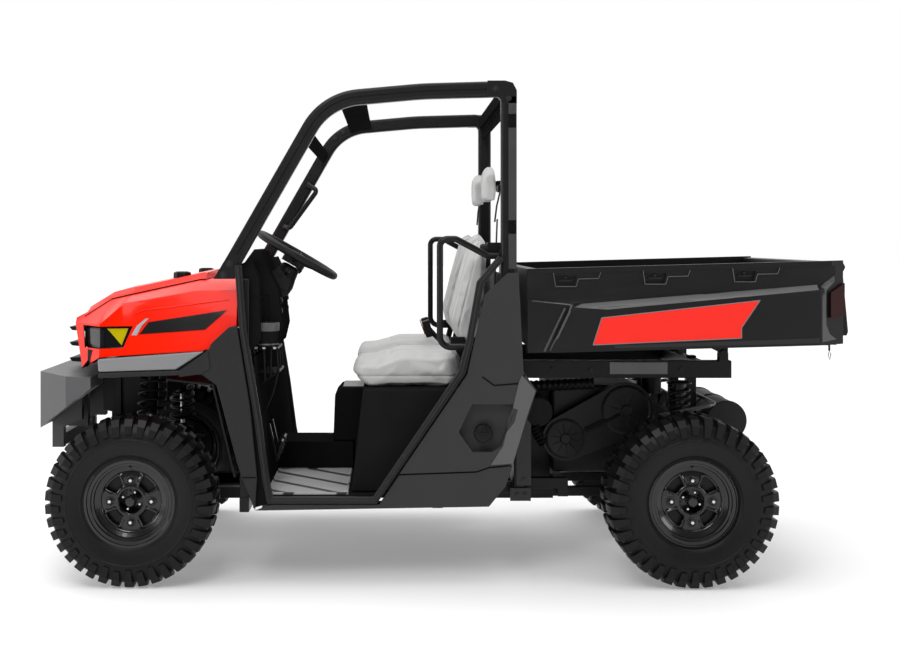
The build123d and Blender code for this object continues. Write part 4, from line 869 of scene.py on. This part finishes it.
def pad_form(outline, half, fall):
    """Closed form of a pad. Towards its sides the outline shrinks and its top falls."""
    shape = bmesh.new()
    low, top = min(z for x, z in outline), max(z for x, z in outline)
    middle_x = sum(x for x, z in outline) / len(outline)
    rings = []
    for station in FORM_STATIONS:
        narrow = 1 - 0.16 * abs(station) ** 10
        drop = fall * abs(station) ** 3
        line = [(middle_x + (x - middle_x) * narrow, z - drop * (z - low) / (top - low)) for x, z in outline]
        rings.append([shape.verts.new((x, half * station, z)) for x, z in line])
    join_rings(shape, rings)
    bmesh.ops.recalc_face_normals(shape, faces=shape.faces)
    return shape


def baked(made):
    """Mesh of an object with its modifiers applied. The object loses them."""
    graph = bpy.context.evaluated_depsgraph_get()
    mesh = bpy.data.meshes.new_from_object(made.evaluated_get(graph), depsgraph=graph)
    made.modifiers.clear()
    return mesh


def blown_up(name, shape, voxel, cap):
    """Remeshes the form, swells it as cloth under pressure and returns its smooth mesh."""
    made = link_mesh(name + "_form", shape)
    remesh = made.modifiers.new("remesh", "REMESH")
    remesh.mode, remesh.voxel_size = "VOXEL", voxel
    made.data = baked(made)
    made.modifiers.new("smooth", "SMOOTH").iterations = 6
    made.data = baked(made)
    rest = [vert.co.copy() for vert in made.data.vertices]
    cloth = made.modifiers.new("cloth", "CLOTH")
    vinyl = cloth.settings
    vinyl.quality, vinyl.mass = 4, 0.3
    vinyl.tension_stiffness = vinyl.compression_stiffness = 12
    vinyl.bending_stiffness = 8
    vinyl.use_pressure, vinyl.uniform_pressure_force = True, 3
    vinyl.effector_weights.gravity = 0
    cloth.point_cache.frame_end = BLOWING_FRAMES
    for frame_number in range(1, BLOWING_FRAMES + 1):
        bpy.context.scene.frame_set(frame_number)
    swollen = baked(made)
    bpy.context.scene.frame_set(1)
    for vert, start in zip(swollen.vertices, rest):
        move = vert.co - start
        vert.co = start + move * min(1, cap / max(move.length, 1e-9))
    made.data = swollen
    finer = made.modifiers.new("finer", "SUBSURF")
    finer.levels = finer.render_levels = 1
    result = baked(made)
    bpy.data.objects.remove(made)
    return result


def groove(distance, half_width, depth):
    """Depth of a sewn line at a distance from it."""
    return depth * pow(2.718, -((distance / half_width) ** 2))


def sewn(node, mesh):
    """Presses the sewn channels and seams into a pad's mesh."""
    mesh.calc_loop_triangles()
    normals = [vert.normal.copy() for vert in mesh.vertices]
    for vert, normal in zip(mesh.vertices, normals):
        x, y, z = vert.co
        press = 0.0
        if node == "seat_backs":
            if normal.x > 0.25:
                spread = 0.78 + 0.22 * (1.31 - z) / 0.43  # the channels draw together towards the top
                press += sum(groove(y - offset * spread, *BACK_SEWING) for offset in BACK_CHANNELS)
            if abs(normal.y) > 0.5:
                press += groove(x + 0.118 + (z - 1.09) * 0.24, *SIDE_SEAM)
        elif node == "seat_cushions":
            if normal.z > 0.4:
                if x < 0.2:
                    press += sum(groove(y - offset, *CUSHION_SEWING) for offset in CUSHION_CHANNELS)
                press += groove(x - 0.18 - 0.5 * max(0, abs(y) - 0.12), *CREASE)
            if normal.z < 0.6:
                press += groove(z - 0.757, *SIDE_SEAM)
        elif normal.x > 0.2:  # the slot of a head restraint
            slot = (y / REST_SLOT_HALF[0]) ** 2 + ((z - REST_SLOT_Z) / REST_SLOT_HALF[1]) ** 2
            press = REST_SLOT_DEPTH * max(0.0, 1 - slot / 1.6) ** 0.5
        vert.co -= normal * press


seat_vinyl = finish("seat_vinyl", (0.43, 0.43, 0.425), 0.42, grain=330, bump=0.5, spread=0.05)
seat_vinyl.node_tree.nodes["Principled BSDF"].inputs["Sheen Weight"].default_value = 0.15
for node, outline, half, fall, voxel, cap, fill in PADS:
    mesh = blown_up(node, pad_form(outline, half, fall), voxel, cap)
    sewn(node, mesh)
    for side, label in ((1, "driver"), (-1, "passenger")):
        shape = bmesh.new()
        shape.from_mesh(mesh)
        bmesh.ops.translate(shape, verts=shape.verts, vec=(0, side * SEAT_Y, 0))
        pad = add_piece(node[:-1] + "_" + label, shape, seat_vinyl, "grey_vinyl", node)


# ---- Roll-over hoops, their cross members and the belts ----
# Rounded square tube, bent in one piece a side. A dark groove runs along its outer face, a casting
# covers the rear corner, and a grey strip with two bracket plates covers the rear post.
HOOP_FACE = 0.6852
HOOP_ROUTE = ((0.772, 1.165), (0.415, 1.788), (0.06, 1.82), (-0.26, 1.829), (-0.26, 0.76))
HOOP_BENDS = (0.229, 1.2, 0.048)


def bent(points, radii, steps=10):
    """Points (x, z) of a line whose inner corners are bent to the radii."""
    line = [Vector(points[0])]
    for corner, radius, before, after in zip(points[1:], radii, points, points[2:]):
        corner, before, after = Vector(corner), Vector(before), Vector(after)
        back, ahead = (before - corner).normalized(), (after - corner).normalized()
        half = back.angle(ahead) / 2
        middle = corner + (back + ahead).normalized() * radius / sin(half)
        start, end = (corner + way * radius / abs(sin(half) / cos(half)) for way in (back, ahead))
        arm = start - middle
        swing = arm.angle_signed(end - middle)
        line += [middle + Matrix.Rotation(-swing * step / steps, 2) @ arm for step in range(steps + 1)]
    return line + [Vector(points[-1])]


hoop_black = finish("hoop_black", (0.006, 0.006, 0.0065), 0.34, bump=0.2)
post_grey = finish("post_grey", (0.04, 0.04, 0.042), 0.4)
for node in ("roll_hoop_left", "roll_hoop_right", "hip_bars", "grab_handle"):
    finish_node(node, hoop_black)
bar_black = finish("bar_black", (0.011, 0.011, 0.0115), 0.6, bump=0.2, shine=0.0)
rounded("hoop_crossbars", bar_black, "black_steel", 0.003)
CORNER_CASTING = [(-0.18, 1.798), (-0.18, 1.858), (-0.245, 1.858), (-0.274, 1.85), (-0.2885, 1.822),
                  (-0.2885, 1.772), (-0.2315, 1.772), (-0.2315, 1.798)]
grooves, castings, strips, plates, hoop_bolts = shapes(5)
hoop_line = bent(HOOP_ROUTE, HOOP_BENDS)
for side in (-1, 1):
    path = [(p.x, side * HOOP_FACE, p.y) for p in hoop_line]
    sweep(grooves, path, [(-0.0018, -0.0006), (0.0018, -0.0006), (0.0018, 0.0006), (-0.0018, 0.0006)])
    block(strips, (-0.2875, 1.165), (-0.2575, 1.8), side * 0.687, 0.0015)
    for z in (1.7095, 1.319):
        block(plates, (-0.2855, z - 0.025), (-0.257, z + 0.025), side * 0.689, 0.0015)
        for hole_z in (z - 0.014, z + 0.014):
            washer = [(0.0045, 0.001), (0.0075, 0.001), (0.008, -0.001)]
            lathe(plates, washer, (-0.271, side * 0.6908, hole_z), (0, side, 0), 20)
    prism(castings, CORNER_CASTING, side * 0.686, 0.0025)
    for x, z in ((-0.2096, 1.828), (-0.258, 1.792)):
        bolt(hoop_bolts, (x, side * 0.6885, z), (0, side, 0), 0.007, 0.005)
    for x, z in ((0.768, 1.183), (0.789, 1.143)):
        bolt(hoop_bolts, (x, side * 0.687, z), (0, side, 0), 0.009, 0.006)
    for x, z in ((0.436, 1.745), (0.4, 1.772)):
        bolt(hoop_bolts, (x, side * 0.63, z), (0, -side, 0), 0.007, 0.005)
    for x, z in ((-0.232, 0.874), (-0.232, 1.212)):
        lathe(plates, [(0, 0.006), (0.022, 0.006), (0.026, 0)], (x, side * 0.642, z), (1, 0, 0), 32)
add_piece("hoop_grooves", grooves, line_black, "black_steel")
add_piece("hoop_castings", castings, hoop_black, "black_steel", edge=(0.003, 3))
add_piece("post_strips", strips, post_grey, "dark_grey_panel", edge=(0.001, 1))
add_piece("post_brackets", plates, line_black, "black_steel", edge=(0.0008, 1))
add_piece("hoop_bolts", hoop_bolts, metal_grey, "black_steel")

# Belts: woven black webbing on a guide at the post, with a buckle on a stalk inside each seat.
webbing = finish("belt_webbing", (0.01, 0.01, 0.01), 0.7, bump=0.6, spread=0.15)
button_red = finish("button_red", (0.3, 0.006, 0.004), 0.35, grain=300, bump=0.1)
finish_node("seat_belts", webbing)
BUCKLE = [(0, 0.878), (0.03, 0.87), (0.05, 0.936), (0.02, 0.945)]
BUTTON = [(0.0515, 0.934), (0.0545, 0.93), (0.038, 0.884), (0.034, 0.885)]
BUCKLE_Y, SPOOL_Y = 0.104, 0.575
belts, retractors, buckles, buttons = shapes(4)
for side in (-1, 1):
    shoulder = [(-0.236, side * 0.59, 1.46), (-0.224, side * 0.56, 1.4), (-0.218, side * 0.54, 1.34)]
    for near, far in zip(shoulder, shoulder[1:]):
        tube(belts, [near, far], 0.0035, 6)
    block(retractors, (-0.236, 1.205), (-0.186, 1.262), side * SPOOL_Y, 0.032)
    spool = [(0, 0.028), (0.02, 0.026), (0.024, 0.018), (0.024, 0)]
    lathe(retractors, spool, (-0.186, side * SPOOL_Y, 1.233), (1, 0, 0), 24)
    block(retractors, (-0.24, 1.45), (-0.222, 1.475), side * 0.604, 0.034)
    stalk = [(-0.045, side * 0.1, 0.84), (-0.0125, side * 0.102, 0.8685), (0.02, side * BUCKLE_Y, 0.905)]
    tube(retractors, stalk, 0.008, 10)
    prism(buckles, BUCKLE, side * BUCKLE_Y, 0.023)
    prism(buttons, BUTTON, side * BUCKLE_Y, 0.017)
    block(retractors, (-0.105, 0.868), (-0.05, 0.905), side * 0.545, 0.01)
add_piece("belt_ends", belts, webbing, "webbing")
add_piece("belt_retractors", retractors, plastic_black, "black_plastic", edge=(0.003, 2))
add_piece("buckles", buckles, plastic_black, "black_plastic", edge=(0.005, 3))
add_piece("buckle_buttons", buttons, button_red, "red_lens", edge=(0.0015, 2))


# ---- Steering wheel and column ----
# A soft moulded rim on three spokes, with a flat pad over the hub. The column's shroud and the
# switches stand behind it on two folded brackets.
grip_black = finish("grip_black", (0.007, 0.007, 0.007), 0.5, grain=420, bump=0.5, spread=0.1)
finish_node("steering_wheel", grip_black)
STEER_MIDDLE = Vector((0.543, SEAT_Y, 1.212))
STEER_AXIS = Vector((-sin(radians(30)), 0, cos(radians(30))))
LEFT = Vector((0, 1, 0))
BRACKET = [(0.64, 1.15), (0.61, 1.165), (0.565, 1.11), (0.59, 1.05), (0.64, 1.04)]
BRACKET_OFFSET, BRACKET_HALF = 0.052, 0.0025
SPOKE_START, SPOKE_END = 0.05, 0.155
wheel_parts, shroud, brackets = shapes(3)
pad = [(0, 0.007), (0.03, 0.0065), (0.034, 0.003), (0.034, 0)]
lathe(wheel_parts, pad, STEER_MIDDLE + STEER_AXIS * 0.0015, STEER_AXIS, 40)
for angle in (0, 90, 180):
    out = LEFT * cos(radians(angle)) + STEER_AXIS.cross(LEFT) * sin(radians(angle))
    start = STEER_MIDDLE + out * SPOKE_START - STEER_AXIS * 0.01
    end = STEER_MIDDLE + out * SPOKE_END - STEER_AXIS * 0.002
    sweep(wheel_parts, [start, end], [(-0.014, -0.003), (0.014, -0.003), (0.01, 0.004), (-0.01, 0.004)])
sleeve = [(0.03, 0), (0.037, -0.004), (0.042, -0.04), (0.05, -0.075), (0.046, -0.11), (0.027, -0.115)]
lathe(shroud, sleeve, STEER_MIDDLE - STEER_AXIS * 0.05, STEER_AXIS, 32)
for out in (-1, 1):
    y = SEAT_Y + out * BRACKET_OFFSET
    prism(brackets, BRACKET, y, BRACKET_HALF)
    for x, z in ((0.6, 1.135), (0.588, 1.075), (0.62, 1.06)):
        bolt(brackets, (x, y + out * BRACKET_HALF, z), (0, out, 0), 0.006, 0.005)
stalk_root = STEER_MIDDLE - STEER_AXIS * 0.09 + Vector((0, 0.03, 0))
stalk_tip = STEER_MIDDLE - STEER_AXIS * 0.08 + Vector((-0.01, 0.12, 0.01))
tube(shroud, [stalk_root, stalk_tip + LEFT * 0.005], 0.005, 10)
lathe(shroud, [(0, 0.022), (0.009, 0.02), (0.01, 0.004), (0.007, 0)], stalk_tip, (-0.1, 1, 0.1), 16)
add_piece("steering_pad", wheel_parts, grip_black, "black_plastic", body="steering_wheel", edge=(0.002, 2))
add_piece("column_shroud", shroud, plastic_black, "black_plastic", edge=(0.0015, 2))
add_piece("column_brackets", brackets, metal_grey, "grey_metal", edge=(0.0008, 1))


# ---- Cargo bed: dark moulded tub, lamps and tailgate ----
# Thick moulded sides step out below a ledge; a light strip on the ledge and a line on the shoulder
# above it are painted highlights. Two raised ribs slant down the front corner in a painted highlight
# colour, the tie-down pockets under the rail are bars and rivets inside painted highlight outlines, a
# painted lighter band stands for the light on the bottom chamfer, and a bare red patch lies on each side.
bed_black = finish("bed_black", (0.007, 0.007, 0.0074), 0.36, bump=0.25, spread=0.12)
# painted highlight: a lighter grey for the ribs, the pocket outlines and the rear corners
bed_painted_highlight = finish("bed_painted_highlight", (0.06, 0.06, 0.062), 0.34, spread=0.1, shine=0.35)
# painted highlight: a light grey for the strip on the ledge and the line on its shoulder
ledge_painted_highlight = finish("ledge_painted_highlight", (0.11, 0.11, 0.113), 0.34, spread=0.1, shine=0.35)
# painted light: a dark grey a little lighter than the bed, for the band along the bottom chamfer
skirt_painted_light = finish("skirt_painted_light", (0.02, 0.02, 0.0205), 0.36, bump=0.2, spread=0.1)
rounded("cargo_bed", bed_black, "dark_grey_panel", 0.006, 3, body="cargo_bed")
rounded("tailgate", bed_black, "dark_grey_panel", 0.006, 3, body="tailgate")
decal_red = gloss_material("decal_red", (0.8, 0.026, 0.018), 0.3)
decal_edge = gloss_material("decal_edge", (0.16, 0.16, 0.165), 0.3)
lamp_red = finish(
    "lamp_red", (0.02, 0.0016, 0.0016), 0.15, grain=90, bump=0.2, spread=0.3, coat=0.2, shine=0.1
)
finish_node("tail_lamps", lamp_red)
bed_skin = surface("cargo_bed")
RED_PATCH = [(-0.598, 0.986), (-1.179, 1.05), (-1.111, 0.95), (-1.111, 0.911), (-0.566, 0.886)]
LEDGE = [(-0.5, 1.024), (-0.53, 1.036), (-1.398, 1.106), (-1.396, 1.088), (-0.62, 1.016)]
SHOULDER_LINE = [(-0.345, 1.048), (-0.478, 1.034), (-0.495, 1.03)]
SKIRT = [(-0.415, 0.868), (-0.415, 0.876), (-1.398, 0.911), (-1.398, 0.893)]
CORNER_FACET = [(-1.408, 1.1), (-1.462, 1.14), (-1.462, 1.12), (-1.425, 1.085), (-1.425, 0.96),
                (-1.44, 0.925), (-1.47, 0.905), (-1.408, 0.896)]
BED_RIBS = (((-0.493, 1.034), (-0.411, 0.862)), ((-0.466, 1.02), (-0.39, 0.862)))
POCKET_X, BED_FRONT_X, BED_RISE, RIB_PITCH = (-0.47, -0.8, -1.13), -0.328, 0.0262, 0.14
POCKET_LINE = [(0.046, 0.024), (0.038, -0.026), (-0.038, -0.026), (-0.046, 0.002), (-0.12, 0.004),
               (-0.128, 0.026)]  # from the pocket's middle
red_patches, patch_edges, ledges, skirts, ribs, ties, liner = shapes(7)
for side in (-1, 1):
    patch(red_patches, bed_skin, RED_PATCH, side, 0.0008, 0.001)
    skin_line(patch_edges, bed_skin, RED_PATCH + RED_PATCH[:1], side, 0.003, 0.0022)
    # painted highlight: the ledge strip, a light plate laid on the skin
    patch(ledges, bed_skin, LEDGE, side, 0.0004, 0.0006, cuts=6)
    # painted light: a lighter band laid along the bottom chamfer
    patch(skirts, bed_skin, SKIRT, side, 0.0004, 0.0006, cuts=3)
    # painted highlight: a light line on the shoulder, drawn in the ledge's light grey
    skin_line(ledges, bed_skin, SHOULDER_LINE, side, 0.004, 0.0006)
    # the raised ribs take a painted highlight colour
    for top, foot in BED_RIBS:
        steps = [Vector(top).lerp(Vector(foot), part / 6) for part in range(7)]
        line = [(x, (skin_y(bed_skin, x, z, side) or side * 0.69) + side * 0.002, z) for x, z in steps]
        tube(ribs, line, 0.0045, 10)
    for x in POCKET_X:
        z = 1.122 - (x - BED_FRONT_X) * BED_RISE
        tube(ties, [(x - 0.024, side * 0.664, z - 0.004), (x + 0.024, side * 0.664, z - 0.004)], 0.004, 10)
        rivet = [(0, 0.003), (0.005, 0.003), (0.006, 0)]
        lathe(ties, rivet, (x, side * 0.6605, z + 0.006), (0, side, 0), 12)
        # painted highlight: light outlines round each tie-down pocket
        line = [(x + along, side * 0.677, z + up) for along, up in POCKET_LINE]
        for ends in zip(line, line[1:]):
            tube(ribs, ends, 0.0016, 6)
    for index in range(8):
        x = -0.42 - RIB_PITCH * index
        top = 1.1 - (x - BED_FRONT_X) * BED_RISE
        block(liner, (x - 0.012, 0.918), (x + 0.012, top), side * 0.6375, 0.0035)
for index in range(9):
    block(liner, (-1.44, 0.914), (-0.375, 0.919), -0.56 + RIB_PITCH * index, 0.022)
add_piece("red_patches", red_patches, decal_red, "orange_panel", body="cargo_bed")
add_piece("red_patch_edges", patch_edges, decal_edge, "silver_panel", body="cargo_bed")
add_piece("bed_ledge_highlights", ledges, ledge_painted_highlight, "dark_grey_panel", body="cargo_bed")
add_piece("bed_skirt_painted_light", skirts, skirt_painted_light, "dark_grey_panel", body="cargo_bed")
add_piece("bed_ribs_painted_highlight", ribs, bed_painted_highlight, "dark_grey_panel", body="cargo_bed")
add_piece("tie_downs", ties, metal_grey, "black_steel", body="cargo_bed")
add_piece("bed_liner_ribs", liner, bed_black, "dark_grey_panel", body="cargo_bed", edge=(0.002, 2))

# Tail: a painted highlight on each rear corner round the lamps, the gate's handle and relief, and a wire
# latch at each end.
LATCH_Y = 0.655
gate_parts, corners, latches = shapes(3)
for y in (-0.42, 0.0, 0.42):
    block(gate_parts, (-1.519, 0.985), (-1.512, 1.105), y, 0.16)
block(gate_parts, (-1.5165, 1.125), (-1.505, 1.16), 0, 0.11)
for side in (-1, 1):
    # painted highlight: a lighter plate on each rear corner round the lamps
    patch(corners, bed_skin, CORNER_FACET, side, 0.0005, 0.0008, cuts=4)
    y = side * LATCH_Y
    ring = [(-1.447, y, 0.864), (-1.453, y, 0.846), (-1.449, y, 0.828), (-1.443, y, 0.846)]
    tube(latches, ring, 0.0016, 8, closed=True)
    tube(latches, [(-1.447, y, 0.862), (-1.447, y, 0.89)], 0.004, 8)
    block(latches, (-1.47, 0.884), (-1.41, 0.89), y, 0.012)
add_piece("gate_relief", gate_parts, bed_black, "dark_grey_panel", body="tailgate", edge=(0.003, 3))
add_piece("bed_corner_highlights", corners, bed_painted_highlight, "dark_grey_panel", body="cargo_bed")
add_piece("gate_latches", latches, metal_grey, "black_steel", body="cargo_bed")
